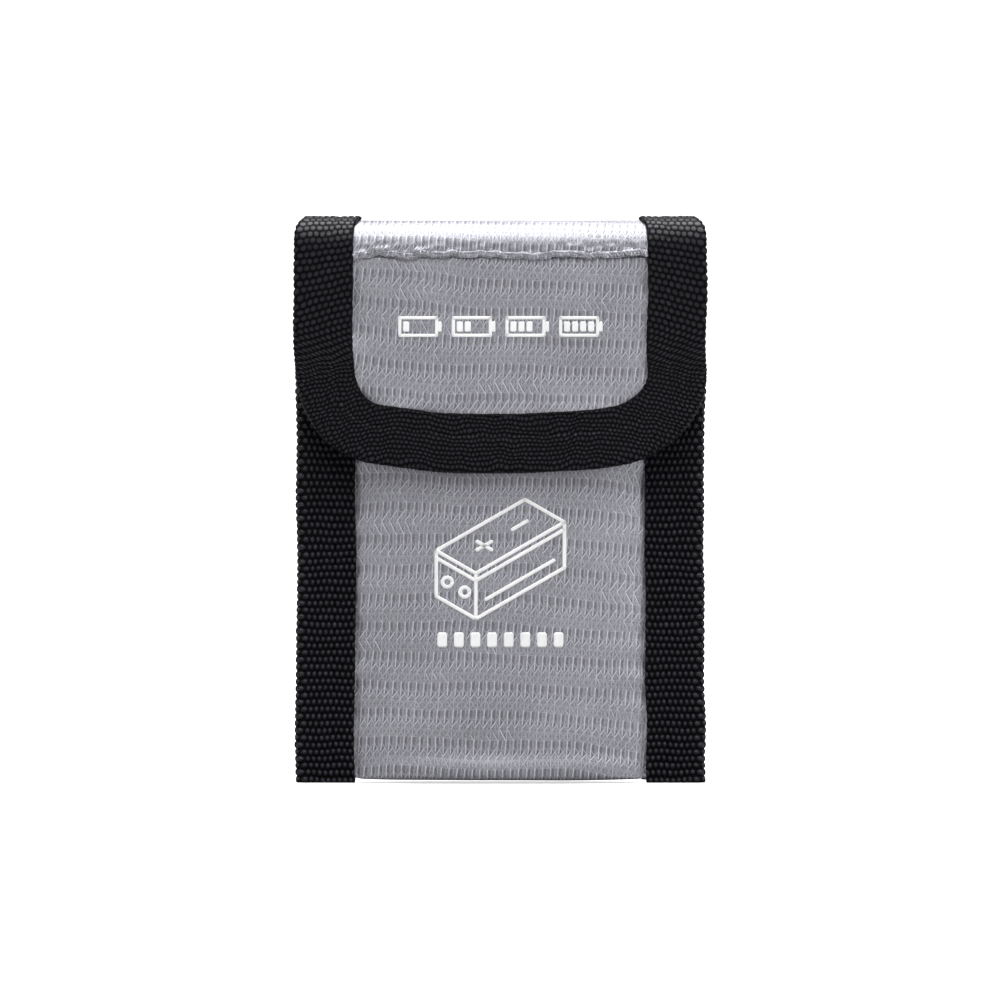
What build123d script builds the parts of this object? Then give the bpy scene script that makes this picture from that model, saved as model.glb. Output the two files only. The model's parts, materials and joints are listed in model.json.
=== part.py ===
"""Small fold-over storage bag of foil-faced glass cloth for one flight battery.

A pocket of silver cloth with an inner lining stands on its folded bottom. Black tape, folded double, binds
both sides. The back runs on over the top as a soft fold and becomes a flap that closes in front with a hook
and loop pair. Millimetres, +Z up, front towards -Y, origin at the centre of the bottom.
"""
from build123d import *
from math import atan2, cos, degrees, hypot, radians, sin, sqrt
import os

os.makedirs("parts", exist_ok=True)

# ---- Driving sizes --------------------------------------------------------------------------------------
BAG_WIDTH = 108.0
BAG_HEIGHT = 150.0
SHELL = 0.6  # silver cloth, coated side out
LINING = 0.5
TAPE = 1.3  # one leaf of the binding tape
TAPE_WIDTH = 15.3  # what shows of the tape once it is folded double over an edge
FOLD_RADIUS = 8.7  # outside of the tape where it goes over the top
POCKET_FLAT = 27.0  # half width of a pocket wall's flat middle
POCKET_EDGE = 38.2  # half width at which the two walls meet in the side seam
FRONT_Y = -4.4  # outer face of the front wall below the flap
LOOP_WALL_Y = -3.7  # the same, where the loop strip is sewn on
MOUTH_Y = -3.0  # the same, at the mouth
SEAM_BACK_Y = 3.1  # back face of the closed side seam, low on the bag
LEAN_Z = 112.0  # above this the side seams lean back to meet the fold
MOUTH_Z = 130.0
HEM_HEIGHT = 7.0
HEM = 0.6
FLAP_TIP_Z = 82.1
FLAP_CORNER = 25.0  # radius of the flap's two lower corners, at the tape's edge
FLAP_CROWN = 210.0  # radius of the flap's nearly straight lower edge
LAP_Z = 138.6  # where the strip that comes over the top ends on the flap
HINGE_GAP = 3.0  # degrees of arc left free at each fold line
LOOP_SIZE = (60.0, 22.5, 1.2)  # width, height, thickness
HOOK_SIZE = (54.0, 19.0, 0.9)
LOOP_Z = 98.6  # lower edge of the loop strip
HOOK_Z = 100.4
STITCH = (3.1, 0.5, 0.3)  # length, width and height of one visible thread
STITCH_PITCH = 4.7
STITCH_INSET = 5.5  # from the tape's inner edge to its thread line
STRIP_STITCH = (2.2, 0.4, 0.2)
STRIP_STITCH_PITCH = 3.4
INK = 0.1
INK_LINE = 0.62

# ---- Sizes that follow from them ------------------------------------------------------------------------
HALF = BAG_WIDTH / 2
TAPE_INNER = HALF - TAPE_WIDTH
CLOTH_EDGE = HALF - TAPE  # the cloth's raw edge lies against the inside of the tape's fold
SKIN = SHELL + LINING
FOLD_Z = BAG_HEIGHT - FOLD_RADIUS
SHELL_R = FOLD_RADIUS - TAPE
LINING_R = SHELL_R - SHELL
INNER_LEAF_R = LINING_R - LINING
TAPE_INSIDE_R = INNER_LEAF_R - TAPE
BACK_Y = SHELL_R
LEAN = (BACK_Y - SEAM_BACK_Y) / (FOLD_Z - LEAN_Z)
THREAD_X = TAPE_INNER + STITCH_INSET
FRONT_FOLD, REAR_FOLD = 135.0, 45.0  # degrees round the top fold, from the back to the front

FRONT_HEIGHTS = (0.0, 3.5, 96.4, 98.4, LEAN_Z, 122.0, MOUTH_Z)
FRONT_MIDDLE = (-3.2, FRONT_Y, FRONT_Y, LOOP_WALL_Y, LOOP_WALL_Y, LOOP_WALL_Y, MOUTH_Y)
BACK_HEIGHTS = (0.0, 3.5, LEAN_Z, FOLD_Z)
BACK_MIDDLE = (5.9, BACK_Y, BACK_Y, BACK_Y)


def seam_back(z):
    """Y of the back face of the cloth in the side seam, at height z."""
    return SEAM_BACK_Y + LEAN * max(0.0, z - LEAN_Z)


FRONT_SEAM = tuple(seam_back(z) - 2 * SKIN for z in FRONT_HEIGHTS)
BACK_SEAM = tuple(seam_back(z) for z in BACK_HEIGHTS)


# ---- Shapes used more than once -------------------------------------------------------------------------
def side_face(points, x):
    """A flat face with the closed outline points (y, z), standing at x."""
    return Plane.YZ.offset(x) * make_face(Polyline(*points, close=True))


def side_prism(points, x0, x1):
    """The outline points (y, z) carried from x0 to x1."""
    return extrude(side_face(points, x0), x1 - x0, dir=(1, 0, 0))


def both_sides(solid):
    """A solid and its mirror image on the other side of the bag."""
    return solid + mirror(solid, about=Plane.YZ)


def fold_arc(inner, outer, start, end, x0, x1):
    """A stretch of the top fold between two radii and two angles, from x0 to x1."""
    ring = Circle(outer) - Circle(inner)
    reach = 3 * outer
    turns = [radians(start + (end - start) * i / 3) for i in range(4)]
    wedge = make_face(Polyline((0, 0), *[(reach * cos(a), reach * sin(a)) for a in turns], close=True))
    return extrude(Plane.YZ.offset(x0) * Pos(0, FOLD_Z) * (ring & wedge), x1 - x0, dir=(1, 0, 0))


def wall(heights, middle, seam, inward, depth, thickness, top=MOUTH_Z, reach=CLOTH_EDGE):
    """One pocket wall: flat in the middle, sloping at each side to the closed seam.

    middle and seam are the wall's outer Y at each height; depth is how far below the outer face this layer
    starts, and inward is +1 on the front wall and -1 on the back one.
    """

    def section(ys, x):
        outer = [(y + inward * depth, z) for y, z in zip(ys, heights)]
        inner = [(y + inward * thickness, z) for y, z in outer]
        return side_face(outer + inner[::-1], x)

    centre = extrude(section(middle, -POCKET_FLAT), 2 * POCKET_FLAT, dir=(1, 0, 0))
    slope = loft([section(middle, POCKET_FLAT), section(seam, POCKET_EDGE)], ruled=True)
    solid = centre + both_sides(slope)
    if reach > POCKET_EDGE:
        solid += both_sides(extrude(section(seam, POCKET_EDGE), reach - POCKET_EDGE, dir=(1, 0, 0)))
    return solid


def front_wall(depth, thickness):
    """A layer of the front wall, from the bottom to the mouth."""
    return wall(FRONT_HEIGHTS, FRONT_MIDDLE, FRONT_SEAM, 1, depth, thickness)


def back_wall(depth, thickness):
    """A layer of the back wall, from the bottom to where the top fold begins."""
    return wall(BACK_HEIGHTS, BACK_MIDDLE, BACK_SEAM, -1, depth, thickness)


def bottom(inset, low, thickness):
    """The folded bottom, as wide as the walls above it, drawn in by inset at front and back."""
    front, back = FRONT_MIDDLE[0] + inset, BACK_MIDDLE[0] - inset
    seam_front, seam_rear = FRONT_SEAM[0] + inset, BACK_SEAM[0] - inset
    right = [(CLOTH_EDGE, seam_front), (CLOTH_EDGE, seam_rear), (POCKET_EDGE, seam_rear), (POCKET_FLAT, back)]
    left = [(-x, y) for x, y in right[::-1]]
    outline = right + left + [(-POCKET_EDGE, seam_front), (-POCKET_FLAT, front), (POCKET_FLAT, front)]
    outline.append((POCKET_EDGE, seam_front))
    return extrude(Pos(0, 0, low) * make_face(Polyline(*outline, close=True)), thickness)


def flap_edge(inset, top):
    """The flap's edge as one wire in X and Z, drawn in by inset from the tape's outer edge.

    Straight sides, a round corner on each and a slightly crowned tip; all its insets are concentric.
    """
    side, radius = HALF - inset, FLAP_CORNER - inset
    corner_x = HALF - FLAP_CORNER
    crown_z = FLAP_TIP_Z + FLAP_CROWN
    corner_z = crown_z - sqrt((FLAP_CROWN - FLAP_CORNER) ** 2 - corner_x**2)
    meet = atan2(corner_z - crown_z, corner_x)
    middle = meet / 2

    def at(angle):
        return corner_x + radius * cos(angle), corner_z + radius * sin(angle)

    (mx, mz), (tx, tz) = at(middle), at(meet)
    return [
        Line((-side, top), (-side, corner_z)),
        ThreePointArc((-side, corner_z), (-mx, mz), (-tx, tz)),
        ThreePointArc((-tx, tz), (0, FLAP_TIP_Z + inset), (tx, tz)),
        ThreePointArc((tx, tz), (mx, mz), (side, corner_z)),
        Line((side, corner_z), (side, top)),
    ]


def flap_plate(inset, top, face_y, thickness):
    """The flap's outline as a flat plate, its front face at face_y."""
    edges = flap_edge(inset, top)
    side = HALF - inset
    outline = make_face(edges + [Line((side, top), (-side, top))])
    return extrude(Plane.XZ.offset(-face_y) * outline, thickness, dir=(0, 1, 0))


def tape_arc(start, end):
    """The folded tape on the right side where it goes over the top, from one angle to another."""
    solid = fold_arc(TAPE_INSIDE_R, FOLD_RADIUS, start, end, TAPE_INNER, HALF)
    return solid - fold_arc(INNER_LEAF_R, SHELL_R, start, end, TAPE_INNER, CLOTH_EDGE)


def stitches(path, outward, size=STITCH, pitch=STITCH_PITCH):
    """Threads laid along a path on a face, each a short solid of its own that stands on the face.

    outward is the face's normal, or a function that gives it from the path's direction.
    """
    length, width, height = size
    count = int(path.length // pitch)
    threads = []
    for i in range(count):
        at = (i + 0.5) / count
        along = path % at
        normal = outward(along) if callable(outward) else outward
        seat = Plane(origin=path @ at, x_dir=along, z_dir=normal)
        threads.append(seat * Pos(0, 0, height / 2) * Box(length, width, height))
    return threads


def strip_stitches(width, height, low, face_y, inset, outward):
    """A rectangle of threads just inside the edge of a hook or loop strip."""
    x, z0, z1 = width / 2 - inset, low + inset, low + height - inset
    corners = [(-x, z0), (x, z0), (x, z1), (-x, z1), (-x, z0)]
    threads = []
    for (ax, az), (bx, bz) in zip(corners, corners[1:]):
        run = Line((ax, face_y, az), (bx, face_y, bz))
        threads += stitches(run, outward, STRIP_STITCH, STRIP_STITCH_PITCH)
    return threads


def ink(sketch, face_y):
    """A printed shape, drawn in X and Z, standing on a face that looks to the front."""
    return extrude(Plane.XZ.offset(-face_y) * sketch, INK)


def stroke(start, end, width=INK_LINE):
    """A printed line from one point to another, with square ends that reach half its width further."""
    (ax, az), (bx, bz) = start, end
    length = hypot(bx - ax, bz - az) + width
    turn = degrees(atan2(bz - az, bx - ax))
    return Pos((ax + bx) / 2, (az + bz) / 2) * Rot(0, 0, turn) * Rectangle(length, width)


# ---- Pouch ----------------------------------------------------------------------------------------------
FOLD_END = REAR_FOLD - HINGE_GAP / 2


def outer_shell():
    """The strip of silver cloth: front wall, bottom, back wall and the start of the fold."""
    fold = fold_arc(LINING_R, SHELL_R, 0, FOLD_END, -CLOTH_EDGE, CLOTH_EDGE)
    return front_wall(0, SHELL) + bottom(0, 0, SHELL) + back_wall(0, SHELL) + fold


def inner_lining():
    """The lining, against the inside of the shell all over."""
    walls = front_wall(SHELL, LINING) + back_wall(SHELL, LINING)
    below = Pos(0, 0, SHELL / 2) * Box(2 * BAG_WIDTH, BAG_WIDTH, SHELL)
    fold = fold_arc(INNER_LEAF_R, LINING_R, 0, FOLD_END, -CLOTH_EDGE, CLOTH_EDGE)
    return (walls - below) + bottom(SHELL, SHELL, LINING) + fold


def side_binding():
    """The right side's folded tape, from the ground to the fold, closed round both walls' edges."""
    step = 2.0
    mouth_front = seam_back(MOUTH_Z) - 2 * SKIN
    past = MOUTH_Z + step
    past_front = seam_back(past) - SKIN
    seam_front = SEAM_BACK_Y - 2 * SKIN
    leaf = [(seam_front - TAPE, 0), (seam_front - TAPE, LEAN_Z), (mouth_front - TAPE, MOUTH_Z)]
    leaf += [(past_front - TAPE, past), (TAPE_INSIDE_R, FOLD_Z), (FOLD_RADIUS, FOLD_Z)]
    leaf += [(SEAM_BACK_Y + TAPE, LEAN_Z), (SEAM_BACK_Y + TAPE, 0)]
    slot = [(seam_front, 0), (seam_front, LEAN_Z), (mouth_front, MOUTH_Z), (mouth_front + SKIN, MOUTH_Z)]
    slot += [(INNER_LEAF_R, FOLD_Z), (SHELL_R, FOLD_Z), (SEAM_BACK_Y, LEAN_Z), (SEAM_BACK_Y, 0)]
    tape = side_prism(leaf, TAPE_INNER, HALF) - side_prism(slot, TAPE_INNER, CLOTH_EDGE)
    return tape + tape_arc(0, FOLD_END)


def side_binding_stitches():
    """The threads along the right side's tape, on its front and its back."""
    front_y = SEAM_BACK_Y - 2 * SKIN - TAPE
    back_y = SEAM_BACK_Y + TAPE
    mouth_y = seam_back(MOUTH_Z) - 2 * SKIN - TAPE
    low, bend = 2.0, 2.0
    x_axis = Vector(1, 0, 0)
    rows = []
    for run in (
        Line((THREAD_X, front_y, low), (THREAD_X, front_y, LEAN_Z)),
        Line((THREAD_X, front_y + LEAN * bend, LEAN_Z + bend), (THREAD_X, mouth_y, MOUTH_Z)),
    ):
        rows += stitches(run, x_axis.cross)
    for run in (
        Line((THREAD_X, back_y, low), (THREAD_X, back_y, LEAN_Z)),
        Line((THREAD_X, back_y + LEAN * bend, LEAN_Z + bend), (THREAD_X, FOLD_RADIUS, FOLD_Z)),
    ):
        rows += stitches(run, lambda along: along.cross(x_axis))
    return rows


def mouth_hem():
    """The hem of the mouth: a turned strip on the outside of the front wall's upper edge."""
    low = MOUTH_Z - HEM_HEIGHT
    rise = (low - FRONT_HEIGHTS[-2]) / (MOUTH_Z - FRONT_HEIGHTS[-2])
    low_y = LOOP_WALL_Y + rise * (MOUTH_Y - LOOP_WALL_Y)
    middle = (low_y, MOUTH_Y)
    seam = (seam_back(low) - 2 * SKIN, seam_back(MOUTH_Z) - 2 * SKIN)
    return wall((low, MOUTH_Z), middle, seam, -1, 0, HEM, reach=POCKET_EDGE)


def mouth_hem_stitches():
    """The threads along the hem, on the flat middle of the front wall."""
    tilt = (MOUTH_Y - LOOP_WALL_Y) / (MOUTH_Z - FRONT_HEIGHTS[-2])
    z = MOUTH_Z - HEM_HEIGHT + 1.5
    y = LOOP_WALL_Y + tilt * (z - FRONT_HEIGHTS[-2]) - HEM
    return stitches(Line((-POCKET_FLAT, y, z), (POCKET_FLAT, y, z)), Vector(0, -1, tilt))


def loop_strip():
    """The loop half of the closure, on the front wall under the flap."""
    width, height, thickness = LOOP_SIZE
    return Pos(0, LOOP_WALL_Y - thickness / 2, LOOP_Z + height / 2) * Box(width, thickness, height)


def loop_stitches():
    """The threads round the loop strip."""
    width, height, thickness = LOOP_SIZE
    return strip_stitches(width, height, LOOP_Z, LOOP_WALL_Y - thickness, 1.2, Vector(0, -1, 0))


def front_print():
    """A plain brick-shaped cell in outline over a row of bars, in white ink on the front wall."""
    long, wide, high = 27.0, 12.0, 12.0
    rise = radians(30)
    base_x, base_z = -(long - wide) / 2 * cos(rise), 43.4

    def corner(a, b, c):
        """A point of the brick: a along its length, b across it and c up, each from 0 to 1."""
        x = base_x + (a * long - b * wide) * cos(rise)
        return x, base_z + (a * long + b * wide) * sin(rise) + c * high

    outline = [(0, 0, 0), (1, 0, 0), (1, 0, 1), (1, 1, 1), (0, 1, 1), (0, 1, 0), (0, 0, 0), (0, 0, 1)]
    drawing = Sketch()
    for start, end in zip(outline, outline[1:]):
        drawing += stroke(corner(*start), corner(*end))
    drawing += stroke(corner(0, 0, 1), corner(1, 0, 1))
    drawing += stroke(corner(0, 0, 1), corner(0, 1, 1))
    for start, end in (
        ((0.24, 0.5, 1), (0.4, 0.5, 1)),
        ((0.32, 0.32, 1), (0.32, 0.68, 1)),
        ((0.64, 0.5, 1), (0.8, 0.5, 1)),
        ((0.12, 0, 0.3), (0.88, 0, 0.3)),
    ):
        drawing += stroke(corner(*start), corner(*end))
    for b in (0.28, 0.72):
        x, z = corner(0, b, 0.55)
        drawing += Pos(x, z) * (Circle(1.5) - Circle(0.9))
    count, bar, gap, bar_height, row_z = 8, 2.6, 1.8, 4.0, 38.0
    for i in range(count):
        x = (i - (count - 1) / 2) * (bar + gap)
        drawing += Pos(x, row_z) * Rectangle(bar, bar_height)
    return ink(drawing, FRONT_Y)


# ---- Top band: the middle of the fold -------------------------------------------------------------------
BAND = (REAR_FOLD + HINGE_GAP / 2, FRONT_FOLD - HINGE_GAP / 2)


def fold_stitches(start, end):
    """The threads of both sides' tape over a stretch of the top fold."""
    arc = CenterArc((0, FOLD_Z), FOLD_RADIUS, start, end - start)
    rows = []
    for x in (-THREAD_X, THREAD_X):
        rows += stitches(Plane.YZ.offset(x) * arc, lambda along: along.cross(Vector(1, 0, 0)))
    return rows


# ---- Flap -----------------------------------------------------------------------------------------------
FLAP_START = FRONT_FOLD + HINGE_GAP / 2


def seam_strip():
    """The end of the strip that comes over the top, sewn down on the flap's own panel."""
    plate_y = -SHELL_R + SHELL / 2
    height = FOLD_Z - LAP_Z
    plate = Pos(0, plate_y, LAP_Z + height / 2) * Box(2 * CLOTH_EDGE, SHELL, height)
    return fold_arc(LINING_R, SHELL_R, FLAP_START, 180, -CLOTH_EDGE, CLOTH_EDGE) + plate


def flap_lining():
    """The flap's lining, flat below the fold."""
    fold = fold_arc(INNER_LEAF_R, LINING_R, FLAP_START, 180, -CLOTH_EDGE, CLOTH_EDGE)
    return flap_plate(TAPE, FOLD_Z, -LINING_R, LINING) + fold


def flap_binding():
    """The tape folded round the flap's edge, from the fold down one side, across and up the other."""
    depth = FOLD_RADIUS - TAPE_INSIDE_R
    tape = flap_plate(0, FOLD_Z, -FOLD_RADIUS, depth) - flap_plate(TAPE_WIDTH, FOLD_Z, -FOLD_RADIUS, depth)
    tape -= flap_plate(TAPE, FOLD_Z, -SHELL_R, SKIN)
    return tape + both_sides(tape_arc(FLAP_START, 180))


def flap_binding_stitches():
    """The threads round the flap's tape, on its outer face."""
    path = Wire(flap_edge(TAPE_WIDTH - STITCH_INSET, FOLD_Z))
    return stitches(Plane.XZ.offset(FOLD_RADIUS) * path, Vector(0, -1, 0))


def hook_strip():
    """The hook half of the closure, on the flap's lining."""
    width, height, thickness = HOOK_SIZE
    return Pos(0, -INNER_LEAF_R + thickness / 2, HOOK_Z + height / 2) * Box(width, thickness, height)


def hook_stitches():
    """The threads round the hook strip."""
    width, height, thickness = HOOK_SIZE
    return strip_stitches(width, height, HOOK_Z, thickness - INNER_LEAF_R, 1.5, Vector(0, 1, 0))


def flap_print():
    """A row of plain cells, filled one bar further each time, in white ink on the flap."""
    cells, wide, high, gap, nub, line = 4, 10.6, 5.6, 2.6, 0.9, INK_LINE
    pitch = wide + nub + gap
    middle_z = 120.5
    drawing = Sketch()
    for i in range(cells):
        x = (i - (cells - 1) / 2) * pitch - nub / 2
        case = Rectangle(wide, high) - Rectangle(wide - 2 * line, high - 2 * line)
        drawing += Pos(x, middle_z) * case
        drawing += Pos(x + (wide + nub) / 2, middle_z) * Rectangle(nub, high / 2)
        slot = (wide - 2 * line - 0.5) / cells
        for bar in range(i + 1):
            bar_x = x - wide / 2 + line + 0.25 + (bar + 0.5) * slot
            drawing += Pos(bar_x, middle_z) * Rectangle(slot - 0.5, high - 2 * line - 1.0)
    return ink(drawing, -SHELL_R)


def flap_panel():
    """The flap's own silver panel, up to the lapped seam."""
    return flap_plate(TAPE, LAP_Z, -SHELL_R, SHELL)


def top_seam_stitches():
    """The threads of the lapped seam across the flap."""
    z = LAP_Z + 0.8
    return stitches(Line((-TAPE_INNER, -SHELL_R, z), (TAPE_INNER, -SHELL_R, z)), Vector(0, -1, 0))


# ---- Nodes ----------------------------------------------------------------------------------------------
right_binding = side_binding()
right_threads = Compound(children=side_binding_stitches())
NODES = {
    "outer_shell": outer_shell(),
    "inner_lining": inner_lining(),
    "right_side_binding": right_binding,
    "left_side_binding": mirror(right_binding, about=Plane.YZ),
    "right_binding_stitches": right_threads,
    "left_binding_stitches": mirror(right_threads, about=Plane.YZ),
    "mouth_hem": mouth_hem(),
    "mouth_hem_stitches": Compound(children=mouth_hem_stitches()),
    "loop_strip": loop_strip(),
    "loop_stitches": Compound(children=loop_stitches()),
    "front_print": front_print(),
    "fold_shell": fold_arc(LINING_R, SHELL_R, *BAND, -CLOTH_EDGE, CLOTH_EDGE),
    "fold_lining": fold_arc(INNER_LEAF_R, LINING_R, *BAND, -CLOTH_EDGE, CLOTH_EDGE),
    "fold_right_binding": tape_arc(*BAND),
    "fold_left_binding": mirror(tape_arc(*BAND), about=Plane.YZ),
    "fold_stitches": Compound(children=fold_stitches(*BAND)),
    "seam_strip": seam_strip(),
    "flap_panel": flap_panel(),
    "flap_lining": flap_lining(),
    "flap_binding": flap_binding(),
    "flap_binding_stitches": Compound(children=flap_binding_stitches() + fold_stitches(FLAP_START, 180)),
    "top_seam_stitches": Compound(children=top_seam_stitches()),
    "hook_strip": hook_strip(),
    "hook_stitches": Compound(children=hook_stitches()),
    "flap_print": flap_print(),
}

for node, shape in NODES.items():
    export_step(shape, f"parts/{node}.step")
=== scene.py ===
"""The looks of a small fold-over battery bag: silver laminated cloth, woven black edging and hook and loop.

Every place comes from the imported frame. Shapes are worked out in millimetres as whole numpy arrays and become
meshes in metres. The front faces -Y, +X is to the right and +Z is up.
"""

import functools
import json
import logging
import math
from collections.abc import Callable, Sequence
from dataclasses import dataclass, field, replace
from enum import Enum

import bpy
import numpy as np
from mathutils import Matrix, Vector


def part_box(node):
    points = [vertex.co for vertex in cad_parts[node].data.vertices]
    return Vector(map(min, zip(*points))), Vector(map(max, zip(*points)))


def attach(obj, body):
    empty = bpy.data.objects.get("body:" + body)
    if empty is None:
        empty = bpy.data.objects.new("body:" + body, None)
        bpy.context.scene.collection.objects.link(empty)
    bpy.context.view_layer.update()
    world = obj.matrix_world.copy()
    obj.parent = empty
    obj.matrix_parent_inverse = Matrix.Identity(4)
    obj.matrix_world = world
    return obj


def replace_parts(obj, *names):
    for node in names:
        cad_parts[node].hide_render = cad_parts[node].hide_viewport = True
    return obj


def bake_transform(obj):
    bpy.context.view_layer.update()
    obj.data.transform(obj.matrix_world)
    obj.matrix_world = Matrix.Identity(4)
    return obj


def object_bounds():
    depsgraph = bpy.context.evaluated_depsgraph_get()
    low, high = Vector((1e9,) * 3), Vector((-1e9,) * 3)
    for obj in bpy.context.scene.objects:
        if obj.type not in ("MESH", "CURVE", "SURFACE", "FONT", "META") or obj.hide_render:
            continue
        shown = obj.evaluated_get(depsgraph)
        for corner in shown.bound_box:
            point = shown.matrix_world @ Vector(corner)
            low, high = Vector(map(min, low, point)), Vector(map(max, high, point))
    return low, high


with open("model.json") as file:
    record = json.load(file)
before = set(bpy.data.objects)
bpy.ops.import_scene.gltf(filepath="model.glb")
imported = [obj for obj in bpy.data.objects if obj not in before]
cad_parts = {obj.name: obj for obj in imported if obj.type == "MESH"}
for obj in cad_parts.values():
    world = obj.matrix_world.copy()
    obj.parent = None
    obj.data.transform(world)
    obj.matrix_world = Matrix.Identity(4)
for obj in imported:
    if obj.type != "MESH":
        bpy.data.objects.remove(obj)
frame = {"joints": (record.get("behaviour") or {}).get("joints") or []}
CAD_LOW, CAD_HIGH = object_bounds()

MM = 0.001
UV_NAME = "cloth_mm"
WEAVE_NAME = "knots"
BEAD_ACROSS, BEAD_ALONG = 1.95, 2.1  # 2 would let a knot's bead fill its cell across and along the tape
THREAD_R = 0.2  # radius of the sewing threads in mm
INK_THICK, INK_LIFT = 0.06, 0.12  # the printed ink's thickness, and its face's height over the cloth's, in mm
LOG = logging.getLogger("bag")
Array = np.ndarray
Pair = tuple[Array, Array]
FORWARD = (0.0, -1.0, 0.0)


# ---- Small mathematics -------------------------------------------------------
def ease(t: Array | float) -> Array:
    """Smoothstep: 0 below 0, 1 above 1 and 3t^2 - 2t^3 between."""
    t = np.clip(t, 0.0, 1.0)
    return t * t * (3 - 2 * t)


def bell(t: Array, width: float) -> Array:
    """exp(-(t / width)^2)."""
    return np.exp(-((t / width) ** 2))


def needle_holes(place: Array, pitch: float, width: float) -> Array:
    """A bell at every multiple of the pitch."""
    beat = place / pitch
    return bell((beat - np.round(beat)) * pitch, width)


def unit(vectors: Array) -> Array:
    """Each vector of an array divided by its length."""
    return vectors / np.maximum(np.linalg.norm(vectors, axis=-1, keepdims=True), 1e-12)


def grid_normals(points: Array) -> Array:
    """Unit normals of a surface on a grid: the cross product of its two central differences.

    Args:
        points: positions, rows x columns x 3.

    Returns:
        One unit vector for each point, along (row direction) x (column direction).
    """
    return unit(np.cross(np.gradient(points, axis=0), np.gradient(points, axis=1)))


def together(*parts: Array | float) -> Array:
    """One array of vectors from arrays of their parts, each spread out to the common shape."""
    return np.stack(np.broadcast_arrays(*parts), -1)


def rounded(t: Array, power: float) -> Array:
    """sign(t) |t|^power, which squares off a sine or cosine where power is below 1."""
    return np.sign(t) * np.abs(t) ** power


def lengths_along(points: Array) -> Array:
    """Distance walked along a polyline up to each of its points."""
    steps = np.linalg.norm(np.diff(points, axis=0), axis=1)
    return np.concatenate([[0.0], np.cumsum(steps)])


@dataclass(frozen=True)
class Wobble:
    """Smooth unevenness: a sum of plane waves sin(k . p + phase) with seeded directions and phases.

    Attributes:
        seed: fixes the waves.
        length: their middle wavelength in mm.
        waves: how many are added; the sum is scaled to a spread of about 1.
    """

    seed: int
    length: float
    waves: int = 9

    def __call__(self, a: Array, b: Array | float = 0.0) -> Array:
        """The height at place (a, b), both in mm.

        Args:
            a: first coordinate, in mm.
            b: second coordinate, in mm.

        Returns:
            The sum of the waves there.
        """
        rng = np.random.default_rng(self.seed)
        turn = rng.uniform(0, 2 * np.pi, self.waves)
        rate = 2 * np.pi / (self.length * rng.uniform(0.65, 1.7, self.waves))
        phase = rng.uniform(0, 2 * np.pi, self.waves)
        total = 0.0
        for k, t, p in zip(rate, turn, phase):
            total = total + np.sin(k * (a * np.cos(t) + b * np.sin(t)) + p)
        return total * math.sqrt(2 / self.waves)


# ---- Meshes from grids -------------------------------------------------------
class Lattice:
    """Collects grid surfaces and turns them into one mesh object."""

    def __init__(self) -> None:
        """Starts with no surface."""
        self.points: list[Array] = []
        self.uvs: list[Array] = []
        self.quads: list[Array] = []
        self.rings: list[Array] = []
        self.knots: list[Array] = []
        self.count = 0

    def add(self, points: Array, uv: Array, closed: bool = False, caps: bool = False, flip: bool = False) -> None:
        """Adds one grid surface, or a stack of equal ones.

        Args:
            points: [stack x] rows x columns x 3, in mm.
            uv: place on the cloth in mm, [stack x] rows x columns x 2.
            closed: joins the last column to the first.
            caps: closes the first and last rows of a closed surface with one face each.
            flip: turns the faces over. Unflipped, they face along (row direction) x (column direction).
        """
        if points.ndim == 3:
            points, uv = points[None], uv[None]
        stack, rows, columns = points.shape[:3]
        index = np.arange(stack * rows * columns).reshape(stack, rows, columns) + self.count
        right = np.roll(index, -1, axis=2) if closed else index[:, :, 1:]
        left = index if closed else index[:, :, :-1]
        quads = np.stack([left[:, :-1], left[:, 1:], right[:, 1:], right[:, :-1]], axis=-1).reshape(-1, 4)
        self.quads.append(quads[:, ::-1] if flip else quads)
        if caps:
            for ring in (index[:, 0], index[:, -1, ::-1]):
                self.rings.extend(ring[:, ::-1] if flip else ring)
        self.points.append(points.reshape(-1, 3))
        self.uvs.append(np.broadcast_to(uv, points.shape[:3] + (2,)).reshape(-1, 2))
        self.count += stack * rows * columns

    def build(self, name: str) -> bpy.types.Object:
        """Makes the object, in metres, smooth but for its caps, with its UV map in mm.

        Args:
            name: the piece's name.

        Returns:
            The new object, linked to the scene.
        """
        quads = np.concatenate(self.quads)
        corners = np.concatenate([quads.ravel(), *self.rings]).astype(np.int32)
        sizes = np.array([4] * len(quads) + [len(r) for r in self.rings], np.int32)
        mesh = bpy.data.meshes.new(name)
        mesh.vertices.add(self.count)
        mesh.vertices.foreach_set("co", (np.concatenate(self.points) * MM).astype(np.float32).ravel())
        mesh.loops.add(len(corners))
        mesh.loops.foreach_set("vertex_index", corners)
        mesh.polygons.add(len(sizes))
        mesh.polygons.foreach_set("loop_start", np.concatenate([[0], np.cumsum(sizes)[:-1]]).astype(np.int32))
        mesh.polygons.foreach_set("use_smooth", sizes == 4)
        layer = mesh.uv_layers.new(name=UV_NAME)
        mesh.update(calc_edges=True)
        layer.data.foreach_set("uv", np.concatenate(self.uvs)[corners].astype(np.float32).ravel())
        if self.knots:
            weave = mesh.attributes.new(WEAVE_NAME, "FLOAT_VECTOR", "POINT")
            weave.data.foreach_set("vector", np.concatenate(self.knots).astype(np.float32).ravel())
        mesh.validate()
        piece = bpy.data.objects.new(name, mesh)
        bpy.context.scene.collection.objects.link(piece)
        return piece


def single(name: str, points: Array, uv: Array, **options: bool) -> bpy.types.Object:
    """Makes a piece of one surface.

    Args:
        name: the piece's name.
        points: as for Lattice.add.
        uv: as for Lattice.add.
        options: the flags of Lattice.add.

    Returns:
        The piece.
    """
    lattice = Lattice()
    lattice.add(points, uv, **options)
    return lattice.build(name)


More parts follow.
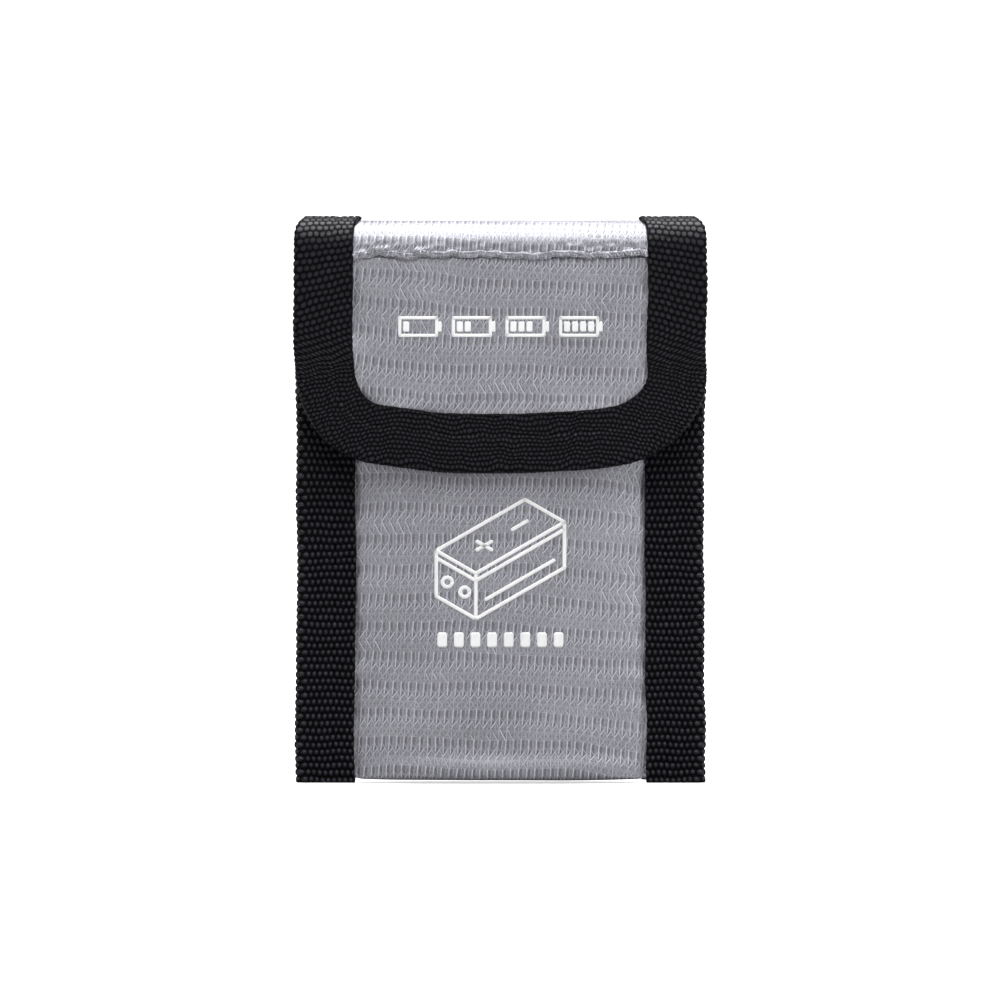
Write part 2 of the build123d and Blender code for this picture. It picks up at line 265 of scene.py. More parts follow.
def thicken(piece: bpy.types.Object, thickness: float) -> None:
    """Gives a sheet its thickness, away from the side that its faces look to.

    Args:
        piece: the sheet.
        thickness: in mm.
    """
    solid = piece.modifiers.new("cloth_thickness", "SOLIDIFY")
    solid.thickness = thickness * MM
    solid.offset = -1.0
    solid.use_even_offset = False


def rods(starts: Array, ends: Array, lift: Array | Sequence[float], radius: float, sag: float = 0.0) -> Pair:
    """Short round threads from one row of points to another, as a stack of closed grids.

    Along each thread the radius follows sqrt(1 - t^2)^0.5 with t from -1 to 1, and the middle rises by
    sag * (1 - t^2) along lift.

    Args:
        starts: one end of each thread, count x 3.
        ends: the other ends.
        lift: unit vector away from the cloth, one for all or count x 3.
        radius: of the thread, in mm.
        sag: how far the middle stands above the ends.

    Returns:
        Points and UVs for Lattice.add.
    """
    t = np.sin(np.linspace(-1, 1, 7) * np.pi / 2)
    turn = np.linspace(0, 2 * np.pi, 7)[:-1]
    lift = np.broadcast_to(lift, starts.shape)
    side = np.cross(unit(ends - starts), lift)
    thick = radius * np.sqrt(np.sqrt(np.maximum(1 - t**2, 1e-4)))
    middle = (starts + ends)[:, None] / 2 + (ends - starts)[:, None] / 2 * t[None, :, None]
    middle = middle + lift[:, None] * (sag * (1 - t**2))[None, :, None]
    ring = np.cos(turn)[None, :, None] * lift[:, None] + np.sin(turn)[None, :, None] * side[:, None]
    points = middle[:, :, None] + thick[None, :, None, None] * ring[:, None]
    span = np.linalg.norm(ends - starts, axis=1)[:, None, None]
    u = np.broadcast_to(turn * radius, points.shape[:3])
    v = np.broadcast_to(span * (t[None, :, None] + 1) / 2, points.shape[:3])
    return points, np.stack([u, v], -1)


# ---- The bag's form ----------------------------------------------------------
def box_mm(node: str) -> Pair:
    """A CAD node's lowest and highest corner, in mm."""
    low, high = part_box(node)
    return np.array(low) / MM, np.array(high) / MM


@dataclass(frozen=True)
class Form:
    """Where the cloth of the closed bag lies. All sizes in mm, all from the frame but for the cloth's own.

    Attributes:
        cloth: thickness of the silver cloth.
        lining: thickness of the lining.
        half: half the bag's width.
        inner: half width between the inner edges of the tape.
        fold_r: outer radius of the tape over the top.
        fold_z: height of the top fold's centre.
        front: outer Y of the front wall's middle.
        seam: Y of the front face of the closed side seam, low on the bag.
        mouth: height of the pocket's mouth.
        tip: height of the flap's lowest point.
        lap: height of the lapped seam on the flap.
        lean_low: height from which the side seam leans back to the fold.
        corner: radius of the flap's two corners.
        crown: radius of the flap's lower edge between them.
    """

    cloth: float
    lining: float
    half: float
    inner: float
    fold_r: float
    fold_z: float
    front: float
    seam: float
    mouth: float
    tip: float
    lap: float
    lean_low: float = 106.0
    corner: float = 25.0
    crown: float = 210.0

    @classmethod
    def from_frame(cls) -> "Form":
        """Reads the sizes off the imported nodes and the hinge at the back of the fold.

        Returns:
            The bag's form.
        """
        tape_low, tape_high = box_mm("right_side_binding")
        shell_low, shell_high = box_mm("outer_shell")
        lining_high = box_mm("inner_lining")[1]
        hinge = next(j for j in frame["joints"] if j["name"] == "rear_fold")["pos_m"]
        leaf = tape_high[0] - shell_high[0]
        return cls(
            cloth=shell_high[1] - lining_high[1],
            lining=0.5,
            half=tape_high[0],
            inner=tape_low[0],
            fold_r=hinge[1] * math.sqrt(2) / MM,
            fold_z=(hinge[2] - hinge[1]) / MM,
            front=shell_low[1],
            seam=tape_low[1] + leaf,
            mouth=box_mm("mouth_hem")[1][2],
            tip=box_mm("flap_binding")[0][2],
            lap=box_mm("flap_panel")[1][2],
        )

    @property
    def leaf(self) -> float:
        """Thickness of one leaf of the tape, over its knots."""
        return self.fold_r - self.shell_r

    @property
    def shell_r(self) -> float:
        """Outer radius of the silver cloth over the top."""
        return box_mm("outer_shell")[1][1]

    @property
    def skin(self) -> float:
        """Silver cloth and lining together."""
        return self.cloth + self.lining

    @property
    def middle_r(self) -> float:
        """Radius of the middle of the two cloth layers over the top."""
        return self.shell_r - self.skin / 2

    @property
    def tape_width(self) -> float:
        """What shows of the folded tape."""
        return self.half - self.inner

    def seam_back(self, z: Array) -> Array:
        """Y of the back face of the cloth in the side seam: straight low down, then easing back to the fold."""
        low = self.seam + 2 * self.skin
        return low + (self.shell_r - low) * ease((z - self.lean_low) / (self.fold_z - self.lean_low))

    def stack(self, z: Array) -> Array:
        """Half the thickness of cloth in the side seam: four layers up to the mouth, two above it."""
        return self.skin * (1 - 0.5 * ease((z - self.mouth + 1) / 5))

    def pillow(self, x: Array) -> Array:
        """How much of the bulge a pocket wall has at x: 1 - |x / edge|^3.5, and 0 past the edge."""
        return np.maximum(0.0, 1 - np.abs(x / (self.inner - 0.4)) ** 3.5)

    def front_y(self, x: Array, z: Array) -> Array:
        """Outer Y of the front wall: the seam's line, bulged forward by the pillow.

        Args:
            x: distance to the right of the bag's middle.
            z: height.

        Returns:
            Y at each place.
        """
        lift = 0.7 * ease((z - 88) / 14) + 0.7 * ease((z - 118) / 12) - 0.85 * ease((8.2 - z) / 4.2)
        edge = self.seam_back(z) - 2 * self.skin
        return edge + (self.front + lift - edge) * self.pillow(x)

    def back_y(self, x: Array, z: Array) -> Array:
        """Outer Y of the back wall: the seam's line, bulged backward by the pillow."""
        edge = self.seam_back(z)
        return edge + (self.shell_r - edge) * self.pillow(x)

    def flap_y(self, x: Array, z: Array) -> Array:
        """Y of the middle of the flap's cloth, whose sides hang back towards the bag."""
        droop = 2.2 * np.abs(x / self.half) ** 2.5 * ease((self.fold_z - 3 - z) / 25)
        return -self.middle_r + droop

    def on_fold(self, x: Array, radius: Array, degrees: Array) -> Array:
        """Points on the top fold, at an angle from the back round to the front.

        Args:
            x: distance to the right of the bag's middle.
            radius: from the fold's centre line.
            degrees: 0 at the back, 90 on top and 180 at the front.

        Returns:
            The points.
        """
        turn = np.radians(degrees)
        y, z = radius * np.cos(turn), self.fold_z + radius * np.sin(turn)
        return together(x, y, z)

    @property
    def corner_z(self) -> float:
        """Height of the centres of the flap's two corners, where their arcs touch the crowned edge."""
        reach = self.crown - self.corner
        return self.tip + self.crown - math.sqrt(reach**2 - (self.half - self.corner) ** 2)

    def flap_low(self, x: Array, inset: float) -> Array:
        """Height of the flap's lower edge at x, drawn in by inset: corner arcs joined by the crown.

        Args:
            x: distance to the right of the bag's middle.
            inset: from the tape's outer edge inwards.

        Returns:
            Z at each x.
        """
        cx, cz = self.half - self.corner, self.corner_z
        crown_z = self.tip + self.crown
        side = np.abs(x)
        meet = cx + (self.corner - inset) * cx / (self.crown - self.corner)
        crowned = crown_z - np.sqrt((self.crown - inset) ** 2 - side**2)
        round_it = cz - np.sqrt(np.maximum((self.corner - inset) ** 2 - (side - cx) ** 2, 0.0))
        return np.where(side < meet, crowned, round_it)


FORM = Form.from_frame()


class Hinge(Enum):
    """The two lines at which the top fold turns, each with its bodies and its angle round the fold."""

    REAR = ("pouch", "fold", 45.0)
    FRONT = ("fold", "flap", 135.0)

    def blend(self, piece: bpy.types.Object, reach: float = 4.5) -> None:
        """Bakes a piece's placement into its mesh.

        Args:
            piece: the finished mesh.
            reach: not used.
        """
        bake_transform(piece)


# ---- Shader building ---------------------------------------------------------
Socket = bpy.types.NodeSocket
Value = float | Socket


class Tree:
    """A short way to write a node tree: each method adds one node and returns its result."""

    def __init__(self, tree: bpy.types.NodeTree) -> None:
        """Wraps a node tree.

        Args:
            tree: a material's or a group's tree.
        """
        self.tree = tree

    def node(self, kind: str, inputs: Sequence | dict = (), **settings: object) -> bpy.types.Node:
        """Adds a node.

        Args:
            kind: the node's type.
            inputs: what its inputs are fed, in their order or by name or number.
            settings: its properties by name.

        Returns:
            The node.
        """
        made = self.tree.nodes.new(kind)
        for name, value in settings.items():
            setattr(made, name, value)
        for socket, value in inputs.items() if isinstance(inputs, dict) else enumerate(inputs):
            self.feed(made.inputs[socket], value)
        return made

    def feed(self, socket: Socket, value: Value | Sequence[float]) -> None:
        """Links a socket to another node's result, or sets its own value."""
        if isinstance(value, bpy.types.NodeSocket):
            self.tree.links.new(value, socket)
        else:
            socket.default_value = value

    def math(self, how: str, *values: Value, clamp: bool = False) -> Socket:
        """One step of arithmetic, named as Blender's Math node names it."""
        return self.node("ShaderNodeMath", values, operation=how, use_clamp=clamp).outputs[0]

    def times(self, first: Value, second: Value) -> Socket:
        """The product of two values."""
        return self.math("MULTIPLY", first, second)

    def minus(self, first: Value, second: Value) -> Socket:
        """The first value less the second."""
        return self.math("SUBTRACT", first, second)

    def larger(self, first: Value, second: Value) -> Socket:
        """The larger of two values."""
        return self.math("MAXIMUM", first, second)

    def total(self, *values: Value) -> Socket:
        """The sum of several values."""
        return functools.reduce(functools.partial(self.math, "ADD"), values)

    def split(self, vector: Socket) -> Sequence[Socket]:
        """The X and Y of a vector."""
        return self.node("ShaderNodeSeparateXYZ", [vector]).outputs[:2]

    def joined(self, x: Value, y: Value) -> Socket:
        """A vector from X and Y."""
        return self.node("ShaderNodeCombineXYZ", [x, y]).outputs[0]

    def ramp(self, value: Socket, low: Value, high: float, out_low: float = 0.0, out_high: float = 1.0) -> Socket:
        """Maps low..high to out_low..out_high in a smooth step."""
        ends = {"From Min": low, "From Max": high, "To Min": out_low, "To Max": out_high}
        return self.node("ShaderNodeMapRange", {"Value": value, **ends}, interpolation_type="SMOOTHSTEP").outputs[0]

    def band(self, distance: Socket, width: Value) -> Socket:
        """1 where distance is 0, falling smoothly to 0 at width."""
        return self.ramp(distance, width, 0.0)

    def noise(self, vector: Socket, scale: float, detail: float = 2.0, rough: float = 0.5) -> Socket:
        """Noise about 0.5 at a scale in turns for each unit of the vector."""
        inputs = {"Vector": vector, "Scale": scale, "Detail": detail, "Roughness": rough}
        return self.node("ShaderNodeTexNoise", inputs, noise_dimensions="3D").outputs["Fac"]

    def mix(self, share: Value, first: object, second: object) -> Socket:
        """A colour between two, by share."""
        pair = [c if isinstance(c, bpy.types.NodeSocket) else (*c, 1.0) for c in (first, second)]
        return self.node("ShaderNodeMix", {0: share, 6: pair[0], 7: pair[1]}, data_type="RGBA").outputs[2]

    def group(self, group: bpy.types.NodeTree, **inputs: object) -> bpy.types.NodeOutputs:
        """Places a node group and feeds its inputs by name."""
        return self.node("ShaderNodeGroup", inputs, node_tree=group).outputs


def new_group(name: str, inputs: dict[str, object], outputs: Sequence[str]) -> tuple[Tree, dict[str, Socket], Socket]:
    """Starts a shader node group.

    Args:
        name: the group's name.
        inputs: each input's name and default; None stands for a vector.
        outputs: names of the value outputs.

    Returns:
        The group's tree, its inputs by name, and the inputs of its output node.
    """
    group = bpy.data.node_groups.new(name, "ShaderNodeTree")
    for label, default in inputs.items():
        kind = "NodeSocketVector" if default is None else "NodeSocketFloat"
        socket = group.interface.new_socket(name=label, in_out="INPUT", socket_type=kind)
        if default is not None:
            socket.default_value = default
    for label in outputs:
        group.interface.new_socket(name=label, in_out="OUTPUT", socket_type="NodeSocketFloat")
    tree = Tree(group)
    given = tree.node("NodeGroupInput").outputs
    result = tree.node("NodeGroupOutput").inputs
    return tree, {label: given[label] for label in inputs}, result


SWING = 0.42  # share of a repeat in which the zigzag thread reaches the next warp thread
SLANT = 0.845  # cosine of its slope
CREASE = 45.0  # how far below the mouth, in mm, the cloth is pressed where the flap's edge lies


def scrim_group() -> bpy.types.NodeTree:
    """The knitted glass scrim that shows through the film.

    With t the share of one Repeat run down the cloth, a zigzag thread leaves each warp thread at t = 0,
    reaches the next one and comes back by t = 1: it stands min(t, 1 - t) / SWING of a Pitch to the side, at
    most 1. The warp thread itself shows between t = 0.4 and 0.9. Distances to the threads are
    |frac(turns + 1/2) - 1/2| * Pitch in mm. Fainter threads lie under these: three level ones in each
    repeat, the zigzag's mirror image, a second warp thread, and the parts of the zigzag that are hidden.

    Returns:
        The group, with a Height in mm, a Thread mask and a Shade mask for painted shade on the dark flanks of the
        threads.
    """
    inputs = {"Place": None, "Pitch": 2.05, "Repeat": 7.7, "Thread": 0.24, "Lean": 0.075}
    tree, given, result = new_group("scrim", inputs, ("Height", "Thread", "Shade"))
    place, pitch, repeat, width = (given[k] for k in ("Place", "Pitch", "Repeat", "Thread"))
    u, v = tree.split(place)
    slow = tree.minus(tree.noise(place, 0.022, 1.0), 0.5)
    quick = tree.minus(tree.noise(place, 0.12, 2.0), 0.5)
    side = tree.minus(tree.noise(tree.joined(v, u), 0.09, 2.0), 0.5)
    sloped = tree.times(u, -0.04)
    drift = tree.total(v, sloped, tree.times(slow, 7.0), tree.times(quick, 0.9))
    across = tree.total(u, tree.times(v, given["Lean"]), tree.times(side, 1.1))
    columns = tree.math("DIVIDE", across, pitch)

    def share(down: float) -> Socket:
        """Share of the repeat, at a place that many mm further down."""
        return tree.math("FRACT", tree.math("DIVIDE", tree.total(drift, down), repeat))

    def distance(turns: Socket) -> Socket:
        """Distance in mm to the nearest whole number of turns."""
        off = tree.minus(tree.math("FRACT", tree.total(turns, 0.5)), 0.5)
        return tree.times(tree.math("ABSOLUTE", off), pitch)

    def swung(t: Socket) -> Socket:
        """How far to the side the zigzag stands, in pitches."""
        return tree.math("DIVIDE", tree.math("MINIMUM", t, tree.minus(1.0, t)), SWING, clamp=True)

    def zigzag(t: Socket) -> Socket:
        """Distance in mm, square to the thread, from the zigzag."""
        return tree.times(distance(tree.minus(columns, swung(t))), SLANT)

    def window(t: Socket, first: float, last: float, soft: float) -> Socket:
        """1 for t between first and last, with soft ends.

        Args:
            t: share of the repeat.
            first: where the window opens.
            last: where it closes.
            soft: half the length of each soft end.

        Returns:
            The mask.
        """
        middle, half = (first + last) / 2, (last - first) / 2
        off = tree.math("ABSOLUTE", tree.minus(t, middle))
        return tree.ramp(off, half - soft, half + soft, 1.0, 0.0)

    t = share(0.0)
    patch = tree.noise(place, 0.04, 1.0)
    grain = tree.noise(place, 0.33, 1.0)
    patchy = tree.total(patch, tree.times(tree.minus(grain, 0.5), 0.5))
    pressed = tree.band(tree.math("ABSOLUTE", tree.minus(v, CREASE)), 11.0)
    patchy = tree.total(patchy, tree.times(pressed, 0.22))
    loose = tree.ramp(patchy, 0.5, 0.7)
    back = tree.times(window(t, 0.0, 0.44, 0.05), tree.math("MULTIPLY_ADD", loose, 0.8, 0.15))
    reach = tree.larger(window(t, 0.75, 1.02, 0.06), tree.times(window(t, 0.6, 1.02, 0.05), loose))
    forth = tree.times(reach, tree.ramp(grain, 0.25, 0.6, 0.75, 1.0))
    strokes = tree.times(tree.band(zigzag(t), width), tree.larger(back, forth))
    warp_run = tree.times(window(t, 0.38, 0.88, 0.06), tree.math("MULTIPLY_ADD", loose, -0.75, 1.0))
    dot = tree.times(window(t, 0.37, 0.46, 0.03), 0.4)
    faint = tree.ramp(grain, 0.3, 0.7, 0.22, 0.65)
    warp_run = tree.total(tree.larger(warp_run, faint), dot)
    warp = tree.times(tree.band(distance(columns), width), warp_run)
    lines = tree.total(window(t, 0.36, 0.39, 0.02), window(t, 0.7, 0.72, 0.02), window(t, 0.07, 0.09, 0.02))
    weft = tree.times(lines, tree.ramp(grain, 0.3, 0.7, 0.08, 0.4))
    mirrored = tree.times(distance(tree.total(columns, swung(t))), SLANT)
    under = tree.times(tree.band(mirrored, width), tree.ramp(patch, 0.35, 0.65, 0.5, 0.28))
    second = tree.band(distance(tree.total(columns, 0.46)), width)
    second = tree.times(second, tree.ramp(grain, 0.35, 0.65, 0.4, 0.08))
    below = tree.times(tree.band(zigzag(t), width), tree.ramp(grain, 0.3, 0.7, 0.2, 0.5))
    hidden = tree.larger(tree.larger(weft, under), tree.larger(second, below))
    thread = tree.larger(tree.larger(strokes, warp), hidden)
    # Painted shade: a dark band on the upper flank of each zigzag stroke near its lower end, and one just right of each
    # warp thread; the film and the ink darken their colour by this mask.
    above = share(0.42)
    lower_end = tree.ramp(tree.math("FRACT", tree.times(above, 2.0)), 0.1, 0.85, 0.3, 1.0)
    flank = tree.times(tree.band(zigzag(above), 0.36), lower_end)
    flank = tree.times(flank, tree.larger(back, forth))
    beside = tree.band(distance(tree.minus(columns, 0.27)), 0.6)
    beside = tree.times(beside, tree.times(window(t, 0.36, 0.84, 0.1), 0.6))
    painted_shade = tree.larger(flank, beside)
    creep = tree.minus(tree.noise(place, 0.9, 3.0, 0.65), 0.5)
    height = tree.total(
        tree.times(thread, 0.05),
        tree.times(painted_shade, -0.02),
        tree.times(creep, 0.05),
    )
    tree.feed(result["Height"], height)
    tree.feed(result["Thread"], thread)
    tree.feed(result["Shade"], painted_shade)
    return tree.tree


def yarn_group() -> bpy.types.NodeTree:
    """Fine filaments that run along a yarn, for tape, thread and lining.

    Returns:
        The group, with a Height in mm and a Fleck mask of lighter filaments.
    """
    tree, given, result = new_group("yarn", {"Place": None, "Across": 7.0, "Along": 1.4}, ("Height", "Fleck"))
    u, v = tree.split(given["Place"])
    lines = tree.joined(tree.times(u, given["Across"]), tree.times(v, given["Along"]))
    strands = tree.noise(lines, 1.0, 3.0, 0.6)
    tree.feed(result["Height"], tree.times(tree.minus(strands, 0.5), 0.12))
    tree.feed(result["Fleck"], tree.ramp(strands, 0.52, 0.75))
    return tree.tree


def handling_group() -> bpy.types.NodeTree:
    """What use leaves on a surface: cloudy patches and a little dust.

    Returns:
        The group, with a slow Cloud about 0.5 and a sparse Dust mask.
    """
    tree, given, result = new_group("handling", {"Place": None, "Amount": 1.0}, ("Cloud", "Dust"))
    cloud = tree.noise(given["Place"], 0.05, 3.0, 0.55)
    specks = tree.ramp(tree.noise(given["Place"], 1.7, 2.0, 0.7), 0.66, 0.74)
    tree.feed(result["Cloud"], cloud)
    tree.feed(result["Dust"], tree.times(specks, given["Amount"]))
    return tree.tree


# ---- Finishes ----------------------------------------------------------------
@dataclass(frozen=True)
class Finish:
    """One material. Subclasses paint their own pattern.

    Attributes:
        name: of the material.
        colour: linear RGB.
        roughness: of the bare surface.
        metallic: share of metal.
        specular: specular level.
        sheen: weight of the cloth sheen.
    """

    name: str
    colour: tuple[float, float, float]
    roughness: float = 0.6
    metallic: float = 0.0
    specular: float = 0.5
    sheen: float = 0.0

    @functools.cache
    def material(self) -> bpy.types.Material:
        """The Blender material, built the first time that it is asked for.

        Returns:
            The material.
        """
        made = bpy.data.materials.new(self.name)
        made.use_nodes = True
        tree = Tree(made.node_tree)
        shader = made.node_tree.nodes["Principled BSDF"]
        bare = {"Base Color": (*self.colour, 1.0), "Roughness": self.roughness, "Metallic": self.metallic}
        cloth = {"Specular IOR Level": self.specular, "Sheen Weight": self.sheen, "Sheen Roughness": 0.45}
        for name, value in {**bare, **cloth}.items():
            shader.inputs[name].default_value = value
        self.paint(tree, shader, tree.node("ShaderNodeUVMap", uv_map=UV_NAME).outputs[0])
        return made

    def paint(self, tree: Tree, shader: bpy.types.Node, place: Socket) -> None:
        """Adds the finish's pattern; a plain finish has none."""

    def dress(self, piece: bpy.types.Object, slot: str) -> None:
        """Gives a piece this finish.

        Args:
            piece: the finished mesh.
            slot: not used.
        """
        piece.data.materials.clear()
        piece.data.materials.append(self.material())

    @staticmethod
    def bump(tree: Tree, shader: bpy.types.Node, height: Socket, strength: float) -> None:
        """Feeds a height in mm to the shader's normal."""
        made = tree.node("ShaderNodeBump", {"Strength": strength, "Distance": MM, "Height": height})
        tree.feed(shader.inputs["Normal"], made.outputs[0])

    def tones(self, *factors: float) -> list[tuple[float, float, float]]:
        """The finish's colour, darker or lighter by each factor."""
        return [tuple(min(1.0, c * f) for c in self.colour) for f in factors]


@dataclass(frozen=True)
class Paper(Finish):
    """Studio paper that looks paler to the camera than it lights the bag.

    Attributes:
        bounce: its grey for light that goes on to the bag.
        glow: how much of its paleness shadows leave.
    """

    bounce: float = 0.3
    glow: float = 0.6

    def paint(self, tree: Tree, shader: bpy.types.Node, place: Socket) -> None:
        """The plain colour for the camera's own rays and the grey for all others.

        Args:
            tree: the material's tree.
            shader: its Principled node.
            place: on the cloth, in mm.
        """
        seen = tree.node("ShaderNodeLightPath").outputs["Is Camera Ray"]
        tree.feed(shader.inputs["Base Color"], tree.mix(seen, (self.bounce,) * 3, self.colour))
        shader.inputs["Emission Color"].default_value = (1.0, 1.0, 1.0, 1.0)
        tree.feed(shader.inputs["Emission Strength"], tree.times(seen, self.glow))


@dataclass(frozen=True)
class SilverFilm(Finish):
    """Semi-gloss silver film over the glass scrim.

    Attributes:
        scrim: strength of the scrim's bump.
        glint: how many times lighter the threads are coloured, as a painted highlight.
    """

    scrim: float = 0.8
    glint: float = 2.3

    def paint(self, tree: Tree, shader: bpy.types.Node, place: Socket) -> None:
        """Painted highlight on the threads and painted shade on one flank of each; the film between is cloudy and
        grained.

        Args:
            tree: the material's tree.
            shader: its Principled node.
            place: on the cloth, in mm.
        """
        scrim = tree.group(GROUPS["scrim"], Place=place)
        wear = tree.group(GROUPS["handling"], Place=place)
        grain = tree.noise(place, 2.3, 3.0, 0.8)
        dark, light, thread_highlight, painted_shade = self.tones(0.64, 1.3, self.glint, 0.32)
        mottle = tree.total(tree.times(grain, 0.75), tree.times(wear["Cloud"], 0.25))
        base = tree.mix(tree.ramp(mottle, 0.34, 0.66), dark, light)
        # Painted shade darkens the colour on the threads' flanks, then the threads are coloured lighter as a painted
        # highlight.
        base = tree.mix(tree.times(scrim["Shade"], 0.85), base, painted_shade)
        tree.feed(shader.inputs["Base Color"], tree.mix(scrim["Thread"], base, thread_highlight))
        rough = tree.total(self.roughness, tree.times(wear["Cloud"], 0.1), -0.05)
        rough = tree.minus(rough, tree.times(scrim["Thread"], 0.08))
        tree.feed(shader.inputs["Roughness"], rough)
        self.bump(tree, shader, scrim["Height"], self.scrim)


@dataclass(frozen=True)
class PlainWeave(Finish):
    """Plain woven glass cloth: two sets of yarn at right angles, over and under.

    Attributes:
        pitch: distance between yarns, in mm.
    """

    pitch: float = 0.62

    def paint(self, tree: Tree, shader: bpy.types.Node, place: Socket) -> None:
        """Height |sin(pi u / p)| and |sin(pi v / p)|, each on top in every other square.

        Args:
            tree: the material's tree.
            shader: its Principled node.
            place: on the cloth, in mm.
        """
        u, v = tree.split(place)
        waves = [tree.math("SINE", tree.times(x, math.pi / self.pitch)) for x in (u, v)]
        over = tree.ramp(tree.times(*waves), -0.25, 0.25)
        first, second = (tree.math("ABSOLUTE", w) for w in waves)
        crossed = tree.total(
            tree.times(first, over),
            tree.times(second, tree.minus(1.0, over)),
        )
        wear = tree.group(GROUPS["handling"], Place=place)
        yarn = tree.group(GROUPS["yarn"], Place=place)
        # Painted shade: the colour is darker where the yarns dip, between one another.
        dark, mid, light = self.tones(0.55, 0.9, 1.2)
        base = tree.mix(crossed, dark, tree.mix(wear["Cloud"], mid, light))
        tree.feed(shader.inputs["Base Color"], base)
        self.bump(tree, shader, tree.total(tree.times(crossed, 0.12), yarn["Height"]), 0.7)


@dataclass(frozen=True)
class Yarn(Finish):
    """Filament yarn, on the tape and the sewing threads.

    Attributes:
        relief: strength of the filaments' bump.
        fleck: how much lighter the raised filaments are.
    """

    relief: float = 0.6
    fleck: float = 2.4

    def paint(self, tree: Tree, shader: bpy.types.Node, place: Socket) -> None:
        """Lighter filaments on a dark ground, with a little lint.

        Args:
            tree: the material's tree.
            shader: its Principled node.
            place: on the cloth, in mm.
        """
        yarn = tree.group(GROUPS["yarn"], Place=place)
        wear = tree.group(GROUPS["handling"], Place=place, Amount=0.5)
        dark, light, lint = self.tones(0.75, self.fleck, self.fleck * 2)
        base = tree.mix(yarn["Fleck"], dark, light)
        tree.feed(shader.inputs["Base Color"], tree.mix(wear["Dust"], base, lint))
        rough = tree.total(self.roughness, tree.times(wear["Cloud"], 0.2), -0.1)
        tree.feed(shader.inputs["Roughness"], rough)
        self.bump(tree, shader, yarn["Height"], self.relief)


@dataclass(frozen=True)
class WovenTape(Yarn):
    """Webbing of thick yarn, whose beads stand out of gaps coloured dark as painted shade.

    Attributes:
        depth: height of the beads' bump, in mm.
    """

    depth: float = 0.6

    def paint(self, tree: Tree, shader: bpy.types.Node, place: Socket) -> None:
        """The beads of FoldedTape.relief from the knots counted on the mesh, each of its own tone, with painted shade
        in the gaps between them.

        Args:
            tree: the material's tree.
            shader: its Principled node.
            place: on the cloth, in mm.
        """
        found = tree.node("ShaderNodeAttribute", attribute_name=WEAVE_NAME, attribute_type="GEOMETRY")
        columns, row = tree.split(found.outputs["Vector"])
        number = tree.math("FLOOR", row)
        odd = tree.times(tree.math("FLOORED_MODULO", number, 2.0), 0.5)
        shifted = tree.total(columns, odd)

        def squared(turns: Socket, wide: float) -> Socket:
            """(wide x)^2, x from -1/2 to 1/2 in each turn."""
            x = tree.times(tree.minus(tree.math("FRACT", turns), 0.5), wide)
            return tree.times(x, x)

        inside = tree.minus(tree.minus(1.0, squared(shifted, BEAD_ACROSS)), squared(row, BEAD_ALONG))
        height = tree.math("SQRT", tree.larger(inside, 0.0))
        knot = tree.joined(tree.math("FLOOR", shifted), number)
        own = tree.node("ShaderNodeTexWhiteNoise", {"Vector": knot}, noise_dimensions="2D")
        yarn = tree.group(GROUPS["yarn"], Place=place)
        wear = tree.group(GROUPS["handling"], Place=place, Amount=0.6)
        gap, body, light, top, lint = self.tones(0.25, 1.05, 2.1, self.fleck, self.fleck * 2)
        base = tree.mix(own.outputs["Value"], body, light)
        base = tree.mix(tree.times(yarn["Fleck"], 0.6), base, top)
        # Painted shade: the colour darkens to the gap tone between the beads, and the specular level drops there as
        # well.
        proud = tree.ramp(inside, 0.0, 0.9)
        base = tree.mix(proud, gap, base)
        specular = tree.math("MULTIPLY_ADD", proud, self.specular * 1.2, self.specular * 0.35)
        tree.feed(shader.inputs["Specular IOR Level"], specular)
        tree.feed(shader.inputs["Base Color"], tree.mix(wear["Dust"], base, lint))
        tall = tree.total(tree.times(height, self.depth), tree.times(yarn["Height"], 0.5))
        self.bump(tree, shader, tall, self.relief)


@dataclass(frozen=True)
class Ink(Finish):
    """White ink that follows the scrim under it."""

    def paint(self, tree: Tree, shader: bpy.types.Node, place: Socket) -> None:
        """Slightly greyer where the scrim's painted shade lies and where there is dust.

        Args:
            tree: the material's tree.
            shader: its Principled node.
            place: on the cloth, in mm.
        """
        scrim = tree.group(GROUPS["scrim"], Place=place)
        wear = tree.group(GROUPS["handling"], Place=place)
        # Greyer by the scrim's painted shade and by dust.
        dust_and_painted_shade = tree.times(tree.total(scrim["Shade"], wear["Dust"]), 0.16)
        tree.feed(shader.inputs["Base Color"], tree.mix(dust_and_painted_shade, self.colour, self.tones(0.5)[0]))
        self.bump(tree, shader, scrim["Height"], 0.5)


@dataclass(frozen=True)
class Pile(Finish):
    """Soft fuzz or moulded plastic with a fine random grain.

    Attributes:
        grain: how fine it is, in turns for each mm.
    """

    grain: float = 3.0

    def paint(self, tree: Tree, shader: bpy.types.Node, place: Socket) -> None:
        """Grain from noise, lighter on its tops.

        Args:
            tree: the material's tree.
            shader: its Principled node.
            place: on the cloth, in mm.
        """
        tops = tree.noise(place, self.grain, 3.0, 0.65)
        dark, light = self.tones(0.5, 2.0)
        tree.feed(shader.inputs["Base Color"], tree.mix(tree.ramp(tops, 0.35, 0.7), dark, light))
        self.bump(tree, shader, tree.times(tops, 0.3), 0.5)


